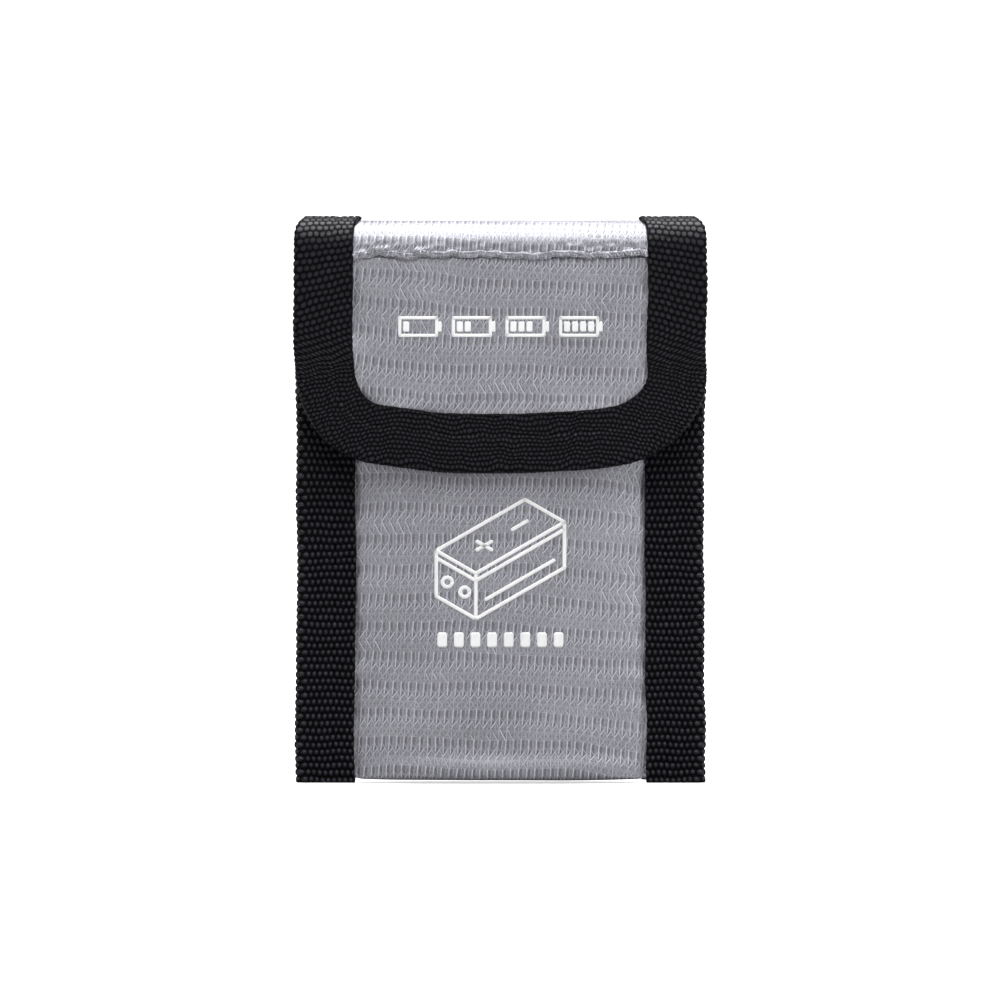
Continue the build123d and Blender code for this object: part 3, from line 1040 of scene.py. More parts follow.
GROUPS = {"scrim": scrim_group(), "yarn": yarn_group(), "handling": handling_group()}
SILVER = SilverFilm("silver_film", (0.302, 0.302, 0.335), roughness=0.45, metallic=0.38, specular=0.3)
GLASS_CLOTH = PlainWeave("glass_cloth", (0.42, 0.42, 0.44), roughness=0.55, metallic=0.25)
TAPE = WovenTape("black_tape", (0.0078, 0.0073, 0.0112), roughness=0.42, specular=0.2, sheen=0.0, relief=1.0)
BLACK_THREAD = Yarn("black_sewing", (0.0025, 0.0025, 0.0033), roughness=0.8, specular=0.02, relief=0.4, fleck=1.6)
GREY_THREAD = Yarn("grey_thread", (0.34, 0.34, 0.36), roughness=0.4, relief=0.4, fleck=1.3)
LOOP_PILE = Pile("loop_pile", (0.014, 0.014, 0.017), roughness=0.85, sheen=0.5, grain=2.2)
HOOK_PLASTIC = Pile("hook_plastic", (0.016, 0.016, 0.019), roughness=0.4, grain=0.8)
WHITE_INK = Ink("printed_white", (0.96, 0.96, 0.97), roughness=0.5)


# ---- Woven tape --------------------------------------------------------------
@dataclass(frozen=True)
class TapeRun:
    """The line that a folded tape follows, sampled at stations.

    Attributes:
        edge: place of the tape's outer edge at each station, in mm.
        inward: unit vector from the edge towards the tape's inner edge.
        outward: unit vector away from the cloth on the outer leaf.
        gap: half the thickness of cloth between the leaves.
        run: distance along the tape, which the stitches count by.
        knots: gives the columns and rows of knots at a signed distance from the outer edge, for every
            station (first axis) and every point of the ring (second axis). The back leaf is below 0.
        settle: optional function that moves finished points, such as to the flap's curve.
    """

    edge: Array
    inward: Array
    outward: Array
    gap: Array
    run: Array
    knots: Callable[[Array], Pair]
    settle: Callable[[Array], Array] | None = None

    def place(self, at: Array, inset: float, height: float) -> Pair:
        """Points over the tape's outer leaf.

        Args:
            at: distances along the tape.
            inset: distance from the outer edge.
            height: above the cloth.

        Returns:
            The points and the outward unit vectors there.
        """

        def between(values: Array) -> Array:
            """Values at the stations, interpolated to the asked places."""
            return np.stack([np.interp(at, self.run, column) for column in values.T], -1)

        out = unit(between(self.outward))
        gap = np.interp(at, self.run, self.gap)[:, None]
        points = between(self.edge) + between(self.inward) * inset + out * (gap + height)
        return (self.settle(points) if self.settle else points), out


@dataclass(frozen=True)
class FoldedTape:
    """Woven tape folded double over an edge, as one closed surface with its knots in relief.

    The section is carried along a TapeRun. Each knot is a bead in its own cell, and every other row is
    moved half a knot sideways.

    Attributes:
        form: the bag's form.
        knot: height of the knots.
        column: distance between knots across the tape.
        row: distance between rows of knots.
        stitch_inset: from the tape's inner edge to its stitches.
        stitch_pitch: from one needle hole to the next.
    """

    form: Form
    knot: float = 0.5
    column: float = 1.52
    row: float = 1.87
    stitch_inset: float = 5.5
    stitch_pitch: float = 4.7

    @property
    def base(self) -> float:
        """Thickness of a leaf without its knots."""
        return self.form.leaf - self.knot

    @property
    def stitch_line(self) -> float:
        """Distance from the outer edge to the line of stitches."""
        return self.form.tape_width - self.stitch_inset

    def section(self, gap: float) -> tuple[Array, Array, Array, Array, Array]:
        """One ring round the folded tape.

        Args:
            gap: half the thickness of cloth between the leaves.

        Returns:
            Inset and height of each point, the knots' direction there as (inset, height), and the knots'
            weight, from the outer leaf's inner edge round the fold and back through the inside.
        """
        width, base = self.form.tape_width, self.base
        radius, lip, floor = gap + base, base / 2, self.form.leaf
        flat = np.linspace(width - lip, radius, 50)
        turn = np.radians(np.linspace(90, -90, 20)[1:-1])
        power = 0.8
        bend_in = radius - radius * np.abs(np.cos(turn)) ** power
        bend_up = radius * rounded(np.sin(turn), power)
        half = np.radians(np.linspace(0, 180, 7)[1:-1])
        deep = np.linspace(width - lip, floor, 6)
        inset = [flat, bend_in, flat[::-1], width - lip + lip * np.sin(half), deep, [floor], deep[::-1]]
        height = [np.full(50, radius), bend_up, np.full(50, -radius), -gap - lip - lip * np.cos(half)]
        height += [np.full(6, -gap), [0.0], np.full(6, gap)]
        inset.append(width - lip + lip * np.sin(half))
        height.append(gap + lip - lip * np.cos(half))
        to_in = [np.zeros(50), -np.cos(turn), np.zeros(50), np.sin(half), *(np.zeros(n) for n in (6, 1, 6))]
        to_in.append(np.sin(half))
        to_up = [np.ones(50), np.sin(turn), -np.ones(50), -np.cos(half), *(np.zeros(n) for n in (6, 1, 6))]
        to_up.append(-np.cos(half))
        fade = 0.6 * np.sin(half / 2)
        weight = [np.ones(118), 0.6 * np.cos(half / 2), np.zeros(13), fade]
        return tuple(np.concatenate(x) for x in (inset, height, to_in, to_up, weight))

    def relief(self, columns: Array, row: Array, inset: Array, run: TapeRun) -> Array:
        """Height of the weave in mm: knots, less the groove of the stitches and its needle holes.

        Each knot is a bead sqrt(1 - (BEAD_ACROSS a)^2 - (BEAD_ALONG b)^2) high, a and b from -1/2 to 1/2 in
        its cell.

        Args:
            columns: each point's place across the tape, counted in knots.
            row: its place along the tape, counted in rows.
            inset: its distance from the outer edge.
            run: the tape's line.

        Returns:
            The height at each point.
        """
        number = np.floor(row)
        along = row - number - 0.5
        columns = columns + 0.5 * (number % 2)
        knot = np.floor(columns)
        sideways = columns - knot - 0.5
        uneven = np.random.default_rng(11).uniform(0.72, 1.0, (97, 61))
        size = uneven[number.astype(int) % 97, knot.astype(int) % 61]
        bead = np.sqrt(np.maximum(1 - (BEAD_ACROSS * sideways) ** 2 - (BEAD_ALONG * along) ** 2, 0))
        groove = bell(inset - self.stitch_line, 0.45)
        hole = needle_holes(run.run[:, None], self.stitch_pitch, 0.5)
        return self.knot * bead * size * (1 - 0.35 * groove) - groove * (0.05 + 0.12 * hole)

    def build(self, name: str, run: TapeRun, turned: bool) -> bpy.types.Object:
        """Makes the tape.

        Args:
            name: the piece's name.
            run: its line.
            turned: True where inward x outward x onward is left-handed, which turns the faces over.

        Returns:
            The piece, closed at both ends.
        """
        thin, thick = self.section(0.0), self.section(1.0)
        gap = run.gap[:, None]
        inset, height = (a + (b - a) * gap for a, b in zip(thin[:2], thick[:2]))
        to_in, to_up, weight = thin[2:]
        ring = np.stack([thin[0] + (thick[0] - thin[0]) * 0.9, thin[1] + (thick[1] - thin[1]) * 0.9], -1)
        walked = lengths_along(ring)
        apex = (walked[49] + walked[68]) / 2
        across = apex - walked
        side = np.where(across >= 0, 1.0, -1.0)
        bend = (math.pi / 2 - 1) * (0.9 + self.base)
        from_edge = np.abs(across)[None] - bend * ease(np.abs(across) / 4)[None]
        columns, row = np.broadcast_arrays(*run.knots(side[None] * from_edge))
        knots = self.relief(columns, row, from_edge, run)
        ends = ease(np.minimum(np.arange(len(run.run)), np.arange(len(run.run))[::-1]) / 2 + 0.5)
        knots = knots * weight * ends[:, None]
        inset = inset + to_in * knots
        height = height + to_up * knots
        points = run.edge[:, None] + run.inward[:, None] * inset[..., None] + run.outward[:, None] * height[..., None]
        if run.settle:
            points = run.settle(points)
        uv = together(across[None], run.run[:, None])
        lattice = Lattice()
        lattice.add(points, uv, closed=True, caps=True, flip=turned)
        lattice.knots.append(together(columns, row, weight[None]).reshape(-1, 3))
        return lattice.build(name)

    def stitches(self, run: TapeRun, first: float, last: float) -> Pair:
        """The threads in the groove of the outer leaf, from one distance to another.

        Args:
            run: the tape's line.
            first: where the row of stitches starts.
            last: where it ends.

        Returns:
            Points and UVs for Lattice.add.
        """
        pitch = self.stitch_pitch
        holes = np.arange(math.ceil(first / pitch), math.floor(last / pitch) + 1) * pitch
        ends, out = run.place(holes, self.stitch_line, self.base - 0.25)
        return rods(ends[:-1], ends[1:], unit(out[:-1] + out[1:]), THREAD_R, 0.24)


def stations(length: float) -> Array:
    """Places along a tape, 0.31 mm apart, with one more close to each end.

    Args:
        length: of the tape.

    Returns:
        Distances from its start.
    """
    step, close = 0.31, 0.02
    inside = np.arange(step, length - step / 2, step)
    return np.concatenate([[0.0, close], inside, [length - close, length]])


# ---- Cloth sheets ------------------------------------------------------------
@dataclass(frozen=True)
class Sheet:
    """A sheet of cloth on a grid.

    Attributes:
        points: positions in mm, rows x columns x 3.
        uv: each point's place on the uncut cloth in mm, rows x columns x 2.
    """

    points: Array
    uv: Array

    def shifted(self, depth: float) -> Array:
        """The grid moved by depth against its normals."""
        return self.points - grid_normals(self.points) * depth

    @property
    def flat(self) -> tuple[float, float]:
        """Width and length of the cut, in metres."""
        return tuple(float(np.ptp(self.uv[..., k])) * MM for k in (0, 1))


def even_columns(half: float, count: int) -> Array:
    """X of a sheet's columns, from left to right."""
    return np.linspace(-half, half, count)


@dataclass
class Half:
    """One half of the bag.

    Attributes:
        form: the bag's form.
        tape: the edging.
        pieces: those made so far.
    """

    form: Form
    tape: FoldedTape
    pieces: list[bpy.types.Object] = field(default_factory=list, init=False)

    def keep(self, piece: bpy.types.Object) -> bpy.types.Object:
        """Notes a finished piece."""
        self.pieces.append(piece)
        return piece


@dataclass
class Pocket(Half):
    """The pouch: silver strip, lining, mouth hem, loop strip, side tapes, threads and print.

    Attributes:
        cloth_half: half the width of the silver strip.
        bottom_low: height of the folded bottom's middle above the ground.
        bottom_lift: how much higher it is at the side seams.
    """

    cloth_half: float = 50.0
    bottom_low: float = 0.7
    bottom_lift: float = 0.3

    def strip(self, columns: int = 190, rise: float = 1.0) -> Sheet:
        """The cloth from the mouth down the front, under the bottom, up the back and over to the top.

        The front and back walls are heights z mapped to front_y and back_y. The bottom is half a
        superellipse between them. The fold is a quarter circle.

        Args:
            columns: how many columns the grid has.
            rise: 1 to stop at the top of the fold.

        Returns:
            The outer face, with its normals outwards.
        """
        form = self.form
        x = even_columns(self.cloth_half, columns)[None]
        swell = form.pillow(x)
        curve_top = 1.4 + 1.8 * swell
        low = self.bottom_low + self.bottom_lift * (1 - swell)
        down = np.linspace(0, 1, 250)[:-1, None]
        z_front = form.mouth + (curve_top - form.mouth) * down
        front = together(x, form.front_y(x, z_front), z_front)
        turn = np.radians(np.linspace(0, 180, 34)[:, None])
        y0, y1 = form.front_y(x, curve_top), form.back_y(x, curve_top)
        power = 0.55
        bottom_y = (y0 + y1) / 2 - (y1 - y0) / 2 * rounded(np.cos(turn), power)
        bottom_z = curve_top - (curve_top - low) * np.abs(np.sin(turn)) ** power
        bottom = together(x, bottom_y, bottom_z)
        z_back = curve_top + (form.fold_z - curve_top) * np.linspace(0, 1, 250)[1:, None]
        back = together(x, form.back_y(x, z_back), z_back)
        angles = np.append(np.linspace(0, 90, 40)[1:], 90.0)
        angles[-2] = 89.8
        fold = form.on_fold(x, form.shell_r, angles[:, None] * rise)
        points = np.concatenate([front, bottom, back, fold])
        length = lengths_along(points[:, columns // 2])
        uv = together(x, length[:, None])
        return Sheet(self.ruffled(points, uv), uv)

    def ripple(self, x: Array, v: Array, z: Array) -> Array:
        """How far the strip stands off its smooth form: slight waves, gathers beside the tape, none on the fold.

        Args:
            x: distance to the right of the bag's middle.
            v: length down the cloth.
            z: height.

        Returns:
            The distance outwards.
        """
        form = self.form
        beside = np.exp(-np.maximum(form.inner - np.abs(x), 0) / 5.0) * (np.abs(x) < form.inner + 1)
        calm = ease((form.fold_z - 4 - z) / 12) * (0.3 + 0.7 * ease((z - 3) / 14))
        slow = 0.22 * Wobble(21, 34.0)(x, v) * form.pillow(x)
        gathers = 0.2 * Wobble(22, 9.0)(v, x * 0.15) * beside
        tucked = 0.3 * bell(form.inner - 0.5 - np.abs(x), 0.9)
        return (slow + gathers) * calm - tucked

    def ruffled(self, points: Array, uv: Array) -> Array:
        """The strip moved out along its normals by its ripple."""
        return points + grid_normals(points) * self.ripple(uv[..., 0], uv[..., 1], points[..., 2])[..., None]

    def wall_y(self, x: Array, z: Array) -> Array:
        """Outer Y of the rippled front wall."""
        return self.form.front_y(x, z) - self.ripple(x, self.form.mouth - z, z)

    def build_cloth(self) -> None:
        """The silver strip and its lining."""
        form = self.form
        sheet = self.strip()
        silver = self.keep(single("silver_strip", sheet.points, sheet.uv))
        thicken(silver, form.cloth)
        SILVER.dress(silver, "silver_cloth")
        Hinge.REAR.blend(silver)
        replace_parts(silver, "outer_shell", "fold_shell")

        coarse = self.strip(columns=96)
        lattice = Lattice()
        inner = coarse.shifted(form.skin)
        inner[..., 2] = np.maximum(inner[..., 2], coarse.points[..., 2].min() + form.skin)
        lattice.add(inner, coarse.uv, flip=True)
        lining = self.keep(lattice.build("pocket_lining"))
        thicken(lining, form.lining - 0.04)
        GLASS_CLOTH.dress(lining, "lining_cloth")
        Hinge.REAR.blend(lining)
        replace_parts(lining, "inner_lining", "fold_lining")

    def build_hem(self) -> None:
        """The strip folded over the mouth's raw edge, with its row of stitches."""
        form = self.form
        low = box_mm("mouth_hem")[0][2]
        x = even_columns(form.inner + 3, 160)[None]
        spread = form.skin / 2 + 0.45
        down = np.linspace(0, 1, 24)[:, None]
        edge = low + 0.25 * Wobble(31, 17.0)(x[0])[None]
        wave = 0.1 * Wobble(32, 6.0)(x, 0.0)
        z_out = edge + (form.mouth - edge) * down
        out = together(x, form.front_y(x, z_out) - 0.45 - wave, z_out)
        turn = np.radians(np.linspace(180, 0, 13)[1:-1, None])
        y_mid = form.front_y(x, form.mouth) + form.skin / 2
        over_y = y_mid + spread * np.cos(turn)
        over = together(x, over_y, form.mouth + 0.8 * np.sin(turn))
        z_in = z_out[::-1]
        inside = together(x, form.front_y(x, z_in) + form.skin + 0.45, z_in)
        points = np.concatenate([out, over, inside])
        length = lengths_along(points[:, 80])
        uv = together(x, length[:, None])
        hem = self.keep(single("mouth_hem_strip", points, uv, flip=True))
        thicken(hem, 0.4)
        GLASS_CLOTH.dress(hem, "lining_cloth")
        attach(hem, "pouch")
        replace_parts(hem, "mouth_hem")

        holes = np.arange(-8, 9) * self.tape.stitch_pitch
        height = np.full(len(holes), low + 1.6)
        ends = np.stack([holes, form.front_y(holes, height) - 0.5, height], -1)
        lattice = Lattice()
        gap = np.array([0.5, 0, 0])
        lattice.add(*rods(ends[:-1] + gap, ends[1:] - gap, FORWARD, THREAD_R, 0.12), closed=True, caps=True)
        threads = self.keep(lattice.build("mouth_hem_threads"))
        GREY_THREAD.dress(threads, "seam_thread")
        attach(threads, "pouch")
        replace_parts(threads, "mouth_hem_stitches")

    def build_loop_strip(self) -> None:
        """The loop half of the closure: a woven ground with a pile of small loops, sewn round its edge."""
        low, high = box_mm("loop_strip")
        ground = closure_ground(low, high, lambda x, z: self.wall_y(x, z) - 0.05, -0.5)
        lattice = Lattice()
        lattice.add(*ground, closed=True, caps=True, flip=True)
        rng = np.random.default_rng(41)
        u, w = np.meshgrid(np.arange(low[0] + 1.8, high[0] - 1.6, 1.05), np.arange(low[2] + 1.8, high[2] - 1.6, 1.05))
        u, w = (a.ravel() + rng.uniform(-0.4, 0.4, a.size) for a in (u, w))
        turn = rng.uniform(0, np.pi, u.size)
        reach = rng.uniform(0.45, 0.8, u.size)
        y = self.wall_y(u, w) - 0.5
        centre = np.stack([u, y, w], -1)
        across = np.stack([np.cos(turn), 0 * turn, np.sin(turn)], -1) * reach[:, None]
        lattice.add(*rods(centre - across, centre + across, FORWARD, 0.13, 0.6), closed=True, caps=True)
        strip = self.keep(lattice.build("loop_pile_strip"))
        LOOP_PILE.dress(strip, "loop_pile")
        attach(strip, "pouch")
        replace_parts(strip, "loop_strip")
        threads = closure_threads("loop_strip_threads", low, high, 1.2, lambda x, z: self.wall_y(x, z) - 0.62, -1.0)
        BLACK_THREAD.dress(threads, "black_thread")
        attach(threads, "pouch")
        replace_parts(self.keep(threads), "loop_stitches")

    def side_run(self, side: int) -> TapeRun:
        """The line of one side's tape, from the ground up and over to the top of the fold.

        Args:
            side: -1 for the left side and 1 for the right.

        Returns:
            The line, which counts its stitches from the top.
        """
        form = self.form
        quarter = form.fold_r * math.pi / 2
        length = form.fold_z + quarter
        at = stations(length)
        z = np.minimum(at, form.fold_z)
        angle = np.maximum(at - form.fold_z, 0) / form.fold_r
        gap = form.stack(z)
        waist = 0.45 * np.sin(np.pi * np.clip(z / 130, 0, 1)) ** 2
        tuck = top_tuck(np.degrees(angle)) + waist + 0.12 * Wobble(51 + side, 24.0)(at)
        radius = form.seam_back(z) - gap
        y = np.where(angle > 0, form.middle_r * np.cos(angle), radius)
        height = np.where(angle > 0, form.fold_z + form.middle_r * np.sin(angle), z)
        edge = np.stack([side * (form.half - tuck), y, height], -1)
        tangent = unit(np.gradient(edge[:, 1:], axis=0))
        outward = np.stack([0 * at, tangent[:, 1], -tangent[:, 0]], -1)
        inward = np.broadcast_to([-float(side), 0.0, 0.0], edge.shape)
        from_top = length - at

        def knots(inset: Array) -> Pair:
            """Rows square to the tape, a little uneven.

            Args:
                inset: signed distance from the outer edge.

            Returns:
                Columns and rows of knots.
            """
            down = from_top[:, None]
            return inset / self.tape.column, down / self.tape.row + 0.06 * Wobble(5, 9.0)(inset, down)

        return TapeRun(edge, inward, outward, gap, from_top, knots, above_ground)

    def build_side_tapes(self) -> None:
        """Both side tapes and the threads on their outer and inner leaves."""
        for side, name in ((-1, "left"), (1, "right")):
            run = self.side_run(side)
            tape = self.keep(self.tape.build(f"{name}_tape", run, turned=side < 0))
            TAPE.dress(tape, "black_tape")
            Hinge.REAR.blend(tape)
            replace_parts(tape, f"{name}_side_binding", f"fold_{name}_binding")
            back = replace(run, **{k: getattr(run, k)[::-1] for k in ("edge", "inward", "outward", "gap", "run")})
            front = replace(back, outward=-back.outward)
            lattice = Lattice()
            top = back.run.max()
            lattice.add(*self.tape.stitches(back, 0.8, top - 1.0), closed=True, caps=True)
            lattice.add(*self.tape.stitches(front, 16.0, top - 1.0), closed=True, caps=True)
            threads = self.keep(lattice.build(f"{name}_tape_threads"))
            BLACK_THREAD.dress(threads, "black_thread")
            Hinge.REAR.blend(threads)
            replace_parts(threads, f"{name}_binding_stitches", "fold_stitches")

    def build_print(self) -> None:
        """A plain brick-shaped cell in outline over a row of bars, in white ink."""
        form = self.form
        marks = cell_drawing(*box_mm("front_print"))
        length = form.mouth

        def on_wall(x: Array, z: Array) -> Pair:
            """Y of the ink and length down the cloth."""
            return self.wall_y(x, z) - INK_LIFT, length - z

        piece = self.keep(printed("front_marks", marks, on_wall))
        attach(piece, "pouch")
        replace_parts(piece, "front_print")

    def build(self) -> list[bpy.types.Object]:
        """Makes every piece of the pouch.

        Returns:
            The pieces.
        """
        self.build_cloth()
        self.build_hem()
        self.build_loop_strip()
        self.build_side_tapes()
        self.build_print()
        return self.pieces


def above_ground(points: Array) -> Array:
    """Points with none below the ground that the bag stands on."""
    return np.maximum(points, [-np.inf, -np.inf, 0.0])


def top_tuck(degrees: Array) -> Array:
    """How far the tape slips inwards where it goes over the top, by the angle round the fold."""
    return 2.1 * bell(degrees - 90, 34)


# ---- Closure and print helpers -----------------------------------------------
Surface = Callable[[Array, Array], Array]


def closure_ground(low: Array, high: Array, surface: Surface, depth: float) -> Pair:
    """The woven or moulded ground of a hook or loop strip, as one closed tube of rounded section.

    Args:
        low: lowest corner of the strip's CAD node.
        high: highest corner.
        surface: Y of the cloth at (x, z).
        depth: how far the ground stands off it, negative to the front.

    Returns:
        Points and UVs for Lattice.add.
    """
    x = np.linspace(low[0], high[0], 62)[:, None]
    turn = np.linspace(0, 2 * np.pi, 49)[:-1][None]
    power = 0.16
    z_mid, z_half = (low[2] + high[2]) / 2, (high[2] - low[2]) / 2
    z = z_mid + z_half * rounded(np.cos(turn), power)
    stand = depth * (0.5 + 0.5 * rounded(np.sin(turn), 0.5))
    y = surface(x, z) + stand
    points = together(x, y, z)
    return points, together(x, z)


def closure_threads(name: str, low: Array, high: Array, inset: float, surface: Surface, way: float) -> bpy.types.Object:
    """Stitches in a rectangle just inside a hook or loop strip's edge.

    Args:
        name: the piece's name.
        low: lowest corner of the strip.
        high: highest corner.
        inset: from the strip's edge to the stitches.
        surface: Y of the strip's face at (x, z).
        way: -1.0 where the face looks to the front, 1.0 where it looks to the back.

    Returns:
        The threads as one piece.
    """
    x0, x1, z0, z1 = low[0] + inset, high[0] - inset, low[2] + inset, high[2] - inset
    lattice = Lattice()
    path = [(x0, z0), (x1, z0), (x1, z1), (x0, z1), (x0, z0)]
    for (ax, az), (bx, bz) in zip(path, path[1:]):
        count = int(round(math.hypot(bx - ax, bz - az) / 3.2))
        t = np.linspace(0, 1, count + 1)
        x, z = ax + (bx - ax) * t, az + (bz - az) * t
        ends = np.stack([x, surface(x, z), z], -1)
        step = (ends[1:] - ends[:-1]) * 0.1
        lattice.add(*rods(ends[:-1] + step, ends[1:] - step, [0.0, way, 0.0], THREAD_R, 0.15), closed=True, caps=True)
    return lattice.build(name)


@dataclass
class Marks:
    """Printed shapes drawn in X and Z, each as a small grid of points.

    Attributes:
        line: width of the lines, in mm.
        grids: the shapes drawn so far.
    """

    line: float
    grids: list[Array] = field(default_factory=list)

    def stroke(self, start: Sequence[float], end: Sequence[float], width: float | None = None) -> None:
        """A line with round ends: half width w sqrt(1 - t^2) over the last half width at each end.

        Args:
            start: X and Z of one end.
            end: X and Z of the other end.
            width: of the line; the drawing's own unless told.
        """
        a, b = np.array(start, float), np.array(end, float)
        half = (width or self.line) / 2
        along = unit(b - a)
        side = np.array([-along[1], along[0]])
        span = np.linalg.norm(b - a)
        cap = np.sin(np.linspace(0, np.pi / 2, 6))
        t = np.concatenate([-half * cap[::-1], np.linspace(0, span, 14)[1:-1], span + half * cap])
        over = np.maximum(np.maximum(-t, t - span), 0) / half
        reach = half * np.sqrt(np.maximum(1 - over**2, 0.0))
        across = np.linspace(-1, 1, 4)
        self.grids.append(a + along * t[:, None, None] + side * (reach[:, None] * across)[..., None])

    def bar(self, middle: Sequence[float], width: float, height: float) -> None:
        """A filled upright block with slightly rounded corners.

        Args:
            middle: X and Z of its middle.
            width: along X.
            height: along Z.
        """
        s = np.linspace(-1, 1, 9)
        z = np.broadcast_to(s[:, None], (9, 9)) * height / 2
        narrow = 1 - 0.3 * np.maximum(np.abs(s) - 0.75, 0) ** 2 / 0.0625 * min(1.0, height / width)
        x = s[None] * narrow[:, None] * width / 2
        self.grids.append(np.stack([middle[0] + x, middle[1] + z], -1))

    def ring(self, middle: Sequence[float], radius: float) -> None:
        """A circle line.

        Args:
            middle: X and Z of its centre.
            radius: of the line's middle.
        """
        turn = np.linspace(0, 2 * np.pi, 33)[:, None]
        r = radius + np.linspace(-0.5, 0.5, 4)[None] * self.line
        self.grids.append(np.stack([middle[0] + r * np.cos(turn), middle[1] + r * np.sin(turn)], -1))


def printed(name: str, marks: Marks, surface: Callable[[Array, Array], Pair]) -> bpy.types.Object:
    """Lays printed shapes on a cloth surface.

    Args:
        name: the piece's name.
        marks: the shapes.
        surface: gives Y and the length along the cloth at (x, z).

    Returns:
        The ink as one thin piece.
    """
    lattice = Lattice()
    for grid in marks.grids:
        x, z = grid[..., 0], grid[..., 1]
        y, v = surface(x, z)
        points = np.stack([x, y, z], -1)
        facing = np.cross(points[1, 0] - points[0, 0], points[0, 1] - points[0, 0])
        inner = np.cross(points[-2, 1] - points[-3, 1], points[-3, 2] - points[-3, 1])
        lattice.add(points, np.stack([x, v], -1), flip=bool((facing + inner)[1] > 0))
    piece = lattice.build(name)
    thicken(piece, INK_THICK)
    WHITE_INK.dress(piece, "white_ink")
    return piece


def cell_drawing(low: Array, high: Array) -> Marks:
    """An outlined brick with two round terminals, a plus and a minus, over a row of bars.

    The brick is drawn in isometric projection: x = (a L - b W) cos 30, z = (a L + b W) sin 30 + c H.

    Args:
        low: lowest corner of the print's CAD node.
        high: highest corner.

    Returns:
        The marks.
    """
    marks = Marks(1.0)
    bars = 4.0
    width = high[0] - low[0]
    rise = math.radians(30)
    long, wide, tall = width * 0.78, width * 0.347, width * 0.347
    base_x = -(long - wide) / 2 * math.cos(rise)
    base_z = high[2] - (long + wide) * math.sin(rise) - tall - 0.3

    def corner(a: float, b: float, c: float) -> tuple[float, float]:
        """X and Z of a point of the brick, from its shares of the length, width and height."""
        across, up = (a * long - b * wide) * math.cos(rise), (a * long + b * wide) * math.sin(rise)
        return base_x + across, base_z + up + c * tall

    path = [(0, 0, 0), (1, 0, 0), (1, 0, 1), (1, 1, 1), (0, 1, 1), (0, 1, 0), (0, 0, 0), (0, 0, 1), (1, 0, 1)]
    for start, end in [*zip(path, path[1:]), ((0, 0, 1), (0, 1, 1))]:
        marks.stroke(corner(*start), corner(*end))
    for start, end in (
        ((0.24, 0.5, 1), (0.4, 0.5, 1)),
        ((0.32, 0.32, 1), (0.32, 0.68, 1)),
        ((0.64, 0.5, 1), (0.8, 0.5, 1)),
        ((0.12, 0, 0.3), (0.88, 0, 0.3)),
        ((0, 0, 0.84), (1, 0, 0.84)),
        ((0, 0, 0.84), (0, 1, 0.84)),
    ):
        marks.stroke(corner(*start), corner(*end))
    for b in (0.28, 0.72):
        marks.ring(corner(0, b, 0.45), 1.25)
    for i in range(8):
        marks.bar(((i - 3.5) * width / 7.9, low[2] + bars / 2), 2.6, bars)
    return marks


def charge_row(low: Array, high: Array) -> Marks:
    """Four plain cells in outline, each filled one bar further.

    Args:
        low: lowest corner of the print's CAD node.
        high: highest corner.

    Returns:
        The marks.
    """
    marks = Marks(0.88)
    cells, nub, gap = 4, 0.9, 2.6
    height, middle = high[2] - low[2] - 0.1, (high[2] + low[2]) / 2
    pitch = (high[0] - low[0] + gap) / cells
    wide = pitch - gap - nub
    line = marks.line
    for i in range(cells):
        x = (i - (cells - 1) / 2) * pitch - nub / 2
        left, right = x - wide / 2 + line / 2, x + wide / 2 - line / 2
        down, up = middle - height / 2 + line / 2, middle + height / 2 - line / 2
        path = [(left, down), (right, down), (right, up), (left, up), (left, down)]
        for start, end in zip(path, path[1:]):
            marks.stroke(start, end)
        marks.bar((x + (wide + nub) / 2, middle), nub, height / 2)
        slot = (wide - 2 * line - 0.4) / cells
        for bar in range(i + 1):
            marks.bar((left + line / 2 + 0.2 + (bar + 0.5) * slot, middle), slot - 0.5, height - 2 * line - 1.0)
    return marks


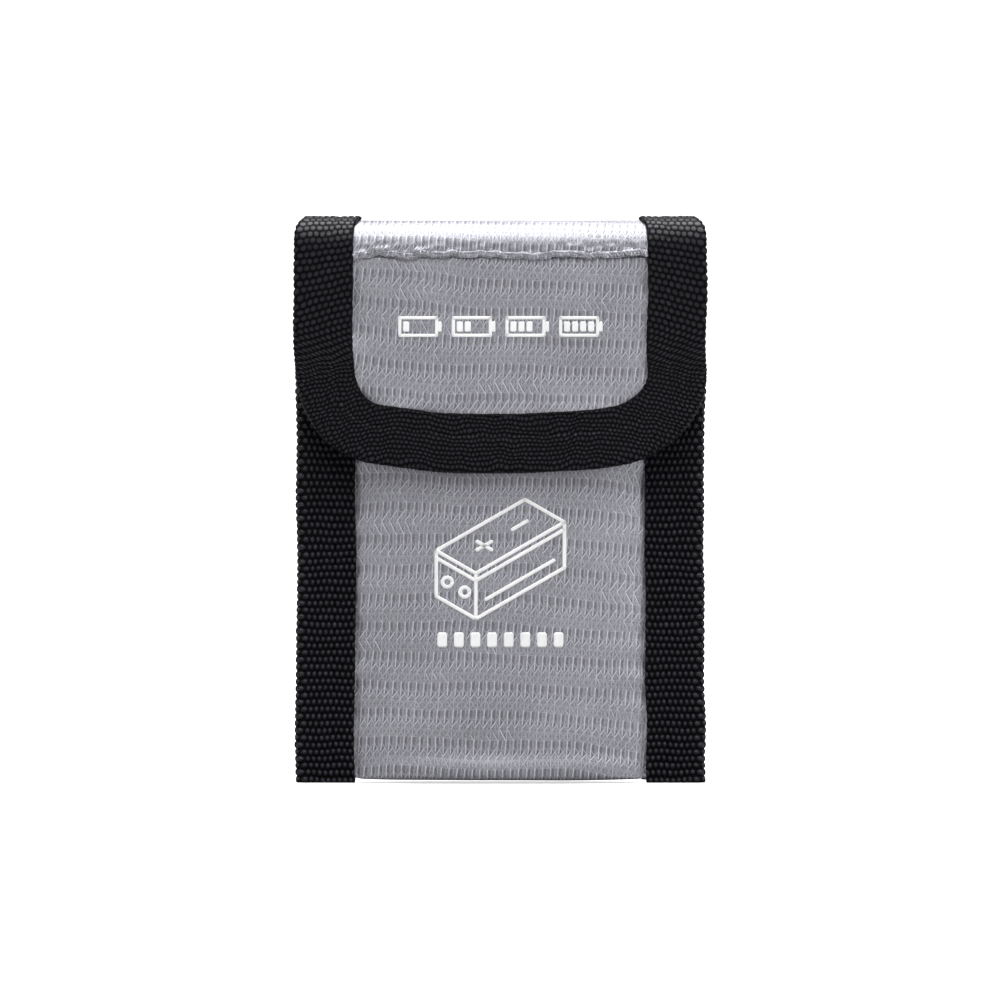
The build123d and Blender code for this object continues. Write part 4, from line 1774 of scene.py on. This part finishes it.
# ---- Flap --------------------------------------------------------------------
@dataclass
class Flap(Half):
    """The front of the fold and the flap: strip end, panel, lining, tape, hooks, threads and print.

    Attributes:
        cloth_length: length of the silver strip up to the top of the fold.
        cloth_half: half the width of the silver strip.
        cut_inset: from the tape's outer edge to the cut edge of the flap's cloth.
        lap_rise: how far the strip's end stands off the panel.
        seam_inset: from the lapped edge up to its stitches.
    """

    cloth_length: float
    cloth_half: float = 50.0
    cut_inset: float = 8.0
    lap_rise: float = 0.6
    seam_inset: float = 1.3

    def lap_edge(self, x: Array) -> Array:
        """Height of the lapped edge, slightly wavy and more so at its ends."""
        ends = ease((np.abs(x) - 12) / 24)
        return self.form.lap - 0.1 + (0.12 + 0.22 * ends) * Wobble(61, 15.0)(x) + 0.17 * Wobble(63, 4.5)(x)

    def build_strip_end(self) -> None:
        """The strip from the top of the fold down to its turned-under edge on the flap.

        Over the front quarter of the fold its radius eases out by the lap's rise, then it runs down to the
        edge, round a half circle and back up under itself.
        """
        form = self.form
        x = even_columns(self.cloth_half, 230)[None]
        angles = np.concatenate([[90.0, 90.2], np.linspace(90, 180, 44)[1:]])[:, None]
        rise = self.lap_rise - (self.lap_rise - 0.25) * ease((np.abs(x) - form.inner + 0.6) / 2.0)
        grow = rise * ease((angles - 110) / 70)
        fold = form.on_fold(x, form.shell_r + grow, angles)
        edge = self.lap_edge(x)
        face = form.flap_y(x, edge) - form.skin / 2 - rise
        radius = 0.2
        z_down = form.fold_z + (edge + radius - form.fold_z) * np.linspace(0, 1, 14)[1:, None]
        straight = together(x, face, z_down)
        turn = np.radians(np.linspace(0, 180, 9)[1:, None])
        curl_y = face + radius - radius * np.cos(turn)
        curl = together(x, curl_y, edge + radius - radius * np.sin(turn))
        z_up = edge + radius + np.linspace(0, 1.6, 4)[1:, None]
        under = together(x, face + 2 * radius, z_up)
        points = np.concatenate([fold, straight, curl, under])
        length = lengths_along(points[:, 115])
        uv = together(x, self.cloth_length + length[:, None])
        row = edge + self.seam_inset
        hole = needle_holes(x, self.tape.stitch_pitch, 0.4)
        drop = points[..., 2] - row
        broken = 0.6 + 0.4 * Wobble(64, 4.0)(x, drop * 0)
        beside = bell(drop, 0.2) * 0.42 * broken + bell(drop, 0.4) * 0.3 * hole
        beside = beside * (points[..., 1] < face + radius * 0.8)
        crumple = 0.17 * Wobble(62, 3.2)(x, points[..., 2]) * ease((edge + 5 - points[..., 2]) / 3)
        crumple = crumple * (0.5 + 0.5 * ease((np.abs(x) - 8) / 20)) * (np.abs(x) < form.inner + 0.5)
        points[..., 1] += beside + crumple
        piece = self.keep(single("silver_strip_end", points, uv))
        thicken(piece, 0.4)
        SILVER.dress(piece, "silver_cloth")
        Hinge.FRONT.blend(piece)
        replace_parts(piece, "seam_strip")

    @property
    def cut_half(self) -> float:
        """Half the width of the flap's cut cloth."""
        return self.form.half - self.cut_inset - 1.5

    def flap_grid(self, columns: int, rows: int, top: float) -> Pair:
        """X and Z over the flap's cut cloth, down to its lower edge.

        Args:
            columns: how many columns the grid has.
            rows: how many rows.
            top: height of the first row.

        Returns:
            X and Z of every point.
        """
        x = even_columns(self.cut_half, columns)[None]
        low = self.form.flap_low(x, self.cut_inset)
        z = top + (low - top) * np.linspace(0, 1, rows)[:, None]
        return np.broadcast_arrays(x, z)

    def face_y(self, x: Array, z: Array) -> Array:
        """Outer Y of the flap's silver panel, tucked under at the lap and uneven beside the tape.

        Args:
            x: distance to the right of the bag's middle.
            z: height.

        Returns:
            Y at each place.
        """
        form = self.form
        under = 0.6 * ease((z - form.lap + 0.2) / 0.7) * ease((form.lap + 1.7 - z) / 0.8)
        edge = form.flap_low(x, form.tape_width)
        near = np.exp(-np.minimum(np.maximum(form.inner - np.abs(x), 0), np.maximum(z - edge, 0)) / 4.0)
        waves = 0.16 * Wobble(71, 28.0)(x, z) + 0.2 * near * Wobble(72, 8.0)(x, z)
        waves = waves - 0.25 * bell(form.inner - 0.5 - np.abs(x), 0.9) * ease((z - edge - 6) / 8)
        return form.flap_y(x, z) - form.skin / 2 + under - waves * ease((form.lap - z) / 5)

    def panel_v(self, z: Array) -> Array:
        """Length down the panel's cloth, whose scrim isn't in step with the strip's."""
        return self.form.fold_z - z + 3.1

    def build_panel(self) -> None:
        """The flap's own silver panel, from under the lap to inside the tape."""
        form = self.form
        x, z = self.flap_grid(200, 110, form.fold_z - 1.0)
        points = np.stack([x, self.face_y(x, z), z], -1)
        uv = np.stack([x + 0.7, self.panel_v(z)], -1)
        piece = self.keep(single("flap_silver", points, uv))
        thicken(piece, form.cloth - 0.05)
        SILVER.dress(piece, "silver_cloth")
        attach(piece, "flap")
        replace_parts(piece, "flap_panel")
        self.cut_area()

    def cut_area(self) -> float:
        """Sums the area of the flap's cut cloth in strips across it.

        Returns:
            The area in square metres.
        """
        x = even_columns(self.cut_half, 200)
        tall = self.form.fold_z - 1.0 - self.form.flap_low(x, self.cut_inset)
        return float(np.trapz(tall, x)) * MM * MM

    def build_lining(self) -> None:
        """The flap's inner face, from the top of the fold down, behind the waves of the panel."""
        form = self.form
        radius = form.middle_r - form.skin / 2
        x, z = self.flap_grid(100, 70, form.fold_z)
        behind = self.face_y(x, z) + form.skin - 0.12
        flat = np.stack([x, np.maximum(form.flap_y(x, z) + form.skin / 2, behind), z], -1)
        angles = np.concatenate([[90.0, 90.2], np.linspace(90, 180, 24)[1:-1]])[:, None]
        points = np.concatenate([form.on_fold(x[:1], radius, angles), flat])
        length = lengths_along(points[:, 50])
        uv = together(x[:1], length[:, None])
        piece = self.keep(single("flap_lining_cloth", points, uv, flip=True))
        thicken(piece, form.lining - 0.04)
        GLASS_CLOTH.dress(piece, "lining_cloth")
        Hinge.FRONT.blend(piece)
        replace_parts(piece, "flap_lining")
        area = self.cut_area() + (2 * self.cut_half * radius * math.pi / 2) * MM * MM

    def tape_run(self) -> TapeRun:
        """The line of the flap's tape: over the fold, down, round the edge and back up the other side.

        The edge is worked out at equal steps of the tape's middle line, which is shorter than the edge in
        the two corners.

        Returns:
            The line, from the left end on top of the fold to the right one.
        """
        form = self.form
        quarter = form.fold_r * math.pi / 2
        drop = form.fold_z - form.corner_z
        cx, middle = form.half - form.corner, form.corner - form.tape_width / 2
        sweep = math.pi / 2 - math.asin(cx / (form.crown - form.corner))
        bend = middle * sweep
        half_crown = (form.crown - form.tape_width / 2) * (math.pi / 2 - sweep)
        marks = np.cumsum([0.0, quarter, drop, bend, 2 * half_crown, bend, drop, quarter])
        at = stations(marks[-1])
        near = np.minimum(at, marks[-1] - at)
        side = np.where(at < marks[-1] / 2, -1.0, 1.0)
        over = np.clip(near, 0, marks[1]) / form.fold_r
        down = np.clip(near - marks[1], 0, drop)
        round_it = np.clip(near - marks[2], 0, bend) / middle
        crown = np.clip(near - marks[3], 0, half_crown) / (form.crown - form.tape_width / 2)
        turn = round_it + crown
        centre_z = np.where(crown > 0, form.tip + form.crown, form.corner_z)
        centre_x = np.where(crown > 0, 0.0, cx)
        reach = np.where(crown > 0, form.crown, form.corner)
        tuck = top_tuck(90 + np.degrees(over)) + 0.25 * Wobble(81, 30.0)(at) * ease((near - quarter) / 8)
        edge_x = centre_x + reach * np.cos(turn) - tuck * np.cos(turn)
        edge_z = centre_z - reach * np.sin(turn) + tuck * np.sin(turn) + np.where(turn == 0, drop - down, 0.0)
        angle = np.pi / 2 + over
        on_fold = near < quarter
        y = np.where(on_fold, form.middle_r * np.cos(angle), -form.middle_r)
        z = np.where(on_fold, form.fold_z + form.middle_r * np.sin(angle), edge_z)
        edge = np.stack([side * edge_x, y, z], -1)
        inward = np.stack([-side * np.cos(turn), 0 * at, np.sin(turn)], -1)
        out_y = np.where(on_fold, np.cos(angle), -1.0)
        outward = np.stack([0 * at, out_y, np.where(on_fold, np.sin(angle), 0.0)], -1)

        def knots(inset: Array) -> Pair:
            """Level rows that lag towards the outer edge, and finer and unevenly pressed below the corners.

            Args:
                inset: signed distance from the outer edge.

            Returns:
                Columns and rows of knots.
            """
            across = edge[:, :1] + inward[:, :1] * inset
            flat = quarter + form.fold_z - (edge[:, 2:] + inward[:, 2:] * inset)
            down = np.where(on_fold[:, None], near[:, None], flat)
            low = ease((down - marks[2] + 7) / 10)
            tilt = 0.16 * ease(down / 16) + 0.2 * ease((down - 12) / 28)
            outer = (np.abs(across) - form.inner) * ease((np.abs(across) - 12) / 22)
            rows = (1.14 * down + 0.5 * np.maximum(down - marks[2] + 2, 0) - tilt * outer) / self.tape.row
            uneven = 0.05 + 0.12 * low
            rows = rows + uneven * (0.9 * Wobble(5, 5.5)(across, down) + 0.7 * Wobble(7, 15.0)(across, down))
            pitch = 1.6 - 0.4 * ease((down - marks[2] + 12) / 16)
            return across / pitch + 40 + uneven * 0.8 * Wobble(6, 5.0)(across, down), rows

        return TapeRun(edge, inward, outward, np.full_like(at, form.skin / 2), at, knots, self.hang)

    def hang(self, points: Array) -> Array:
        """Moves points from the plane of a straight flap to the flap's curve.

        Args:
            points: on the straight flap.

        Returns:
            The moved points.
        """
        moved = points.copy()
        moved[..., 1] += self.form.flap_y(points[..., 0], points[..., 2]) + self.form.middle_r
        return moved

    def build_tape(self) -> None:
        """The tape round the flap and its threads on the outer face."""
        run = self.tape_run()
        tape = self.keep(self.tape.build("flap_tape", run, turned=False))
        TAPE.dress(tape, "black_tape")
        Hinge.FRONT.blend(tape)
        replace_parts(tape, "flap_binding")
        stitches = self.tape.stitches(run, 1.0, run.run.max() - 1.0)
        threads = self.keep(single("flap_tape_threads", *stitches, closed=True, caps=True))
        BLACK_THREAD.dress(threads, "black_thread")
        Hinge.FRONT.blend(threads)
        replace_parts(threads, "flap_binding_stitches")

    def build_seam_threads(self) -> None:
        """The stitches of the lapped seam, each a thread between two needle holes."""
        form = self.form
        pitch = self.tape.stitch_pitch
        count = int((form.inner + 2) / pitch)
        x = np.arange(-count, count + 1) * pitch
        z = self.lap_edge(x) + self.seam_inset
        y = form.flap_y(x, z) - form.skin / 2 - self.lap_rise + 0.2
        ends = np.stack([x, y, z], -1)
        lattice = Lattice()
        gap = np.array([0.3, 0, 0])
        lattice.add(*rods(ends[:-1] + gap, ends[1:] - gap, FORWARD, THREAD_R, 0.2), closed=True, caps=True)
        piece = self.keep(lattice.build("lapped_seam_threads"))
        GREY_THREAD.dress(piece, "seam_thread")
        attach(piece, "flap")
        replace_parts(piece, "top_seam_stitches")

    def build_hooks(self) -> None:
        """The hook half of the closure: a moulded ground with rows of small bent hooks."""
        low, high = box_mm("hook_strip")

        def inner_face(x: Array, z: Array) -> Array:
            """Y of the inner face of the flap's lining."""
            return self.form.flap_y(x, z) + self.form.skin / 2 + 0.03

        lattice = Lattice()
        lattice.add(*closure_ground(low, high, inner_face, 0.35), closed=True, caps=True)
        u, w = np.meshgrid(np.arange(low[0] + 2.6, high[0] - 2.4, 1.35), np.arange(low[2] + 2.6, high[2] - 2.4, 1.35))
        u, w = u.ravel(), w.ravel()
        foot = np.stack([u, inner_face(u, w) + 0.25, w], -1)
        way = np.where((np.round(u / 1.35) % 2) == 0, 1.0, -1.0)
        head = foot + np.stack([0 * u, np.full_like(u, 0.42), 0.5 * way], -1)
        lift = unit(np.stack([0 * u, np.full_like(u, 0.5), -0.42 * way], -1))
        lattice.add(*rods(foot, head, lift, 0.16, 0.18), closed=True, caps=True)
        piece = self.keep(lattice.build("hook_ground"))
        HOOK_PLASTIC.dress(piece, "hook_plastic")
        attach(piece, "flap")
        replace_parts(piece, "hook_strip")
        threads = closure_threads("hook_strip_threads", low, high, 1.5, lambda x, z: inner_face(x, z) + 0.35, 1.0)
        BLACK_THREAD.dress(threads, "black_thread")
        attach(threads, "flap")
        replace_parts(self.keep(threads), "hook_stitches")

    def build_print(self) -> None:
        """A row of plain cells in white ink."""

        def on_flap(x: Array, z: Array) -> Pair:
            """Y of the ink and length down the cloth."""
            return self.face_y(x, z) - INK_LIFT, self.panel_v(z)

        piece = self.keep(printed("flap_marks", charge_row(*box_mm("flap_print")), on_flap))
        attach(piece, "flap")
        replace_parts(piece, "flap_print")

    def build(self) -> list[bpy.types.Object]:
        """Makes every piece of the flap.

        Returns:
            The pieces.
        """
        self.build_panel()
        self.build_strip_end()
        self.build_lining()
        self.build_tape()
        self.build_seam_threads()
        self.build_hooks()
        self.build_print()
        return self.pieces


# ---- Studio ------------------------------------------------------------------
@dataclass(frozen=True)
class Studio:
    """A pale sweep, soft light and the camera. Sizes in metres.

    Attributes:
        picture: width of what the camera sees at the bag.
        lens: focal length in mm.
        sensor: width of the camera's sensor in mm.
        elevation: of the camera, in degrees.
        surround: strength of the even light from all round.
    """

    picture: float = 0.2643
    lens: float = 200.0
    sensor: float = 36.0
    elevation: float = 1.0
    surround: float = 0.31

    def floor(self) -> None:
        """A floor that curves up into a wall behind the bag, as one strip bent through a quarter circle."""
        radius, back, top, front = 1.0, 0.9, 3.2, -3.0
        turn = np.radians(np.linspace(-90, 0, 25))
        y = np.concatenate([[front], back + radius * np.cos(turn), [back + radius]]) / MM
        z = np.concatenate([[0.0], radius + radius * np.sin(turn), [top]]) / MM
        x = np.array([-3.0, 3.0]) / MM
        points = together(x[None], y[:, None], z[:, None])
        sweep = single("studio_sweep", points, points[..., :2] * 0.01, flip=True)
        paper = Paper("studio_paper", (0.66, 0.66, 0.66), roughness=0.95, specular=0.05)
        sweep.data.materials.append(paper.material())

    def light(
        self, name: str, place: Sequence[float], size: float, power: float, aim: Sequence[float] = (0.0, 0.0, 0.075)
    ) -> None:
        """A square soft light.

        Args:
            name: of the light.
            place: where it stands.
            size: of its side.
            power: in watts.
            aim: the point that it faces; the middle of the bag unless told.
        """
        data = bpy.data.lights.new(name, "AREA")
        data.shape, data.size, data.energy = "SQUARE", size, power
        lamp = bpy.data.objects.new(name, data)
        lamp.location = place
        lamp.rotation_mode = "QUATERNION"
        lamp.rotation_quaternion = Vector(np.array(aim) - np.array(place)).to_track_quat("-Z", "Y")
        bpy.context.scene.collection.objects.link(lamp)

    def world(self) -> None:
        """Even white light from all round."""
        world = bpy.data.worlds.new("studio")
        world.use_nodes = True
        background = world.node_tree.nodes["Background"]
        background.inputs["Color"].default_value = (1.0, 1.0, 1.0, 1.0)
        background.inputs["Strength"].default_value = self.surround
        bpy.context.scene.world = world

    def camera(self) -> None:
        """Straight at the front of the bag from slightly above its middle."""
        data = bpy.data.cameras.new("camera")
        data.lens, data.sensor_width = self.lens, self.sensor
        distance = self.picture * self.lens / self.sensor
        tilt = math.radians(self.elevation)
        aim = np.array([-0.00008, 0.0, (CAD_HIGH[2] + CAD_LOW[2]) / 2 - 0.0003])
        back = np.array([0.0, -math.cos(tilt), math.sin(tilt)])
        camera = bpy.data.objects.new("camera", data)
        camera.location = aim + back * distance
        camera.rotation_mode = "QUATERNION"
        camera.rotation_quaternion = Vector(-back).to_track_quat("-Z", "Y")
        data.clip_start, data.clip_end = 0.01, 20.0
        bpy.context.scene.collection.objects.link(camera)
        bpy.context.scene.camera = camera

    def build(self) -> None:
        """Sets the whole studio."""
        self.floor()
        self.world()
        self.light("top_soft", (0.08, -0.2, 1.3), 1.7, 40.0)
        self.light("right_soft", (1.2, -1.0, 0.5), 0.8, 4.2)
        self.light("left_soft", (-1.2, -1.0, 0.5), 0.8, 1.2)
        self.light("sweep_soft", (0.0, 0.6, 2.6), 1.6, 50.0, (0.0, 2.2, 0.9))
        self.camera()
        bpy.context.scene.view_settings.view_transform = "Standard"


def main() -> None:
    """Builds the bag and the studio, and reports each piece."""
    logging.basicConfig(level=logging.INFO, format="%(message)s")
    tape = FoldedTape(FORM)
    pocket = Pocket(FORM, tape)
    length = float(pocket.strip(columns=5).uv[..., 1].max())
    flap = Flap(FORM, tape, cloth_length=length)
    for piece in pocket.build() + flap.build():
        LOG.info("%s: %d faces", piece.name, len(piece.data.polygons))
    Studio().build()


if __name__ == "__main__":
    main()
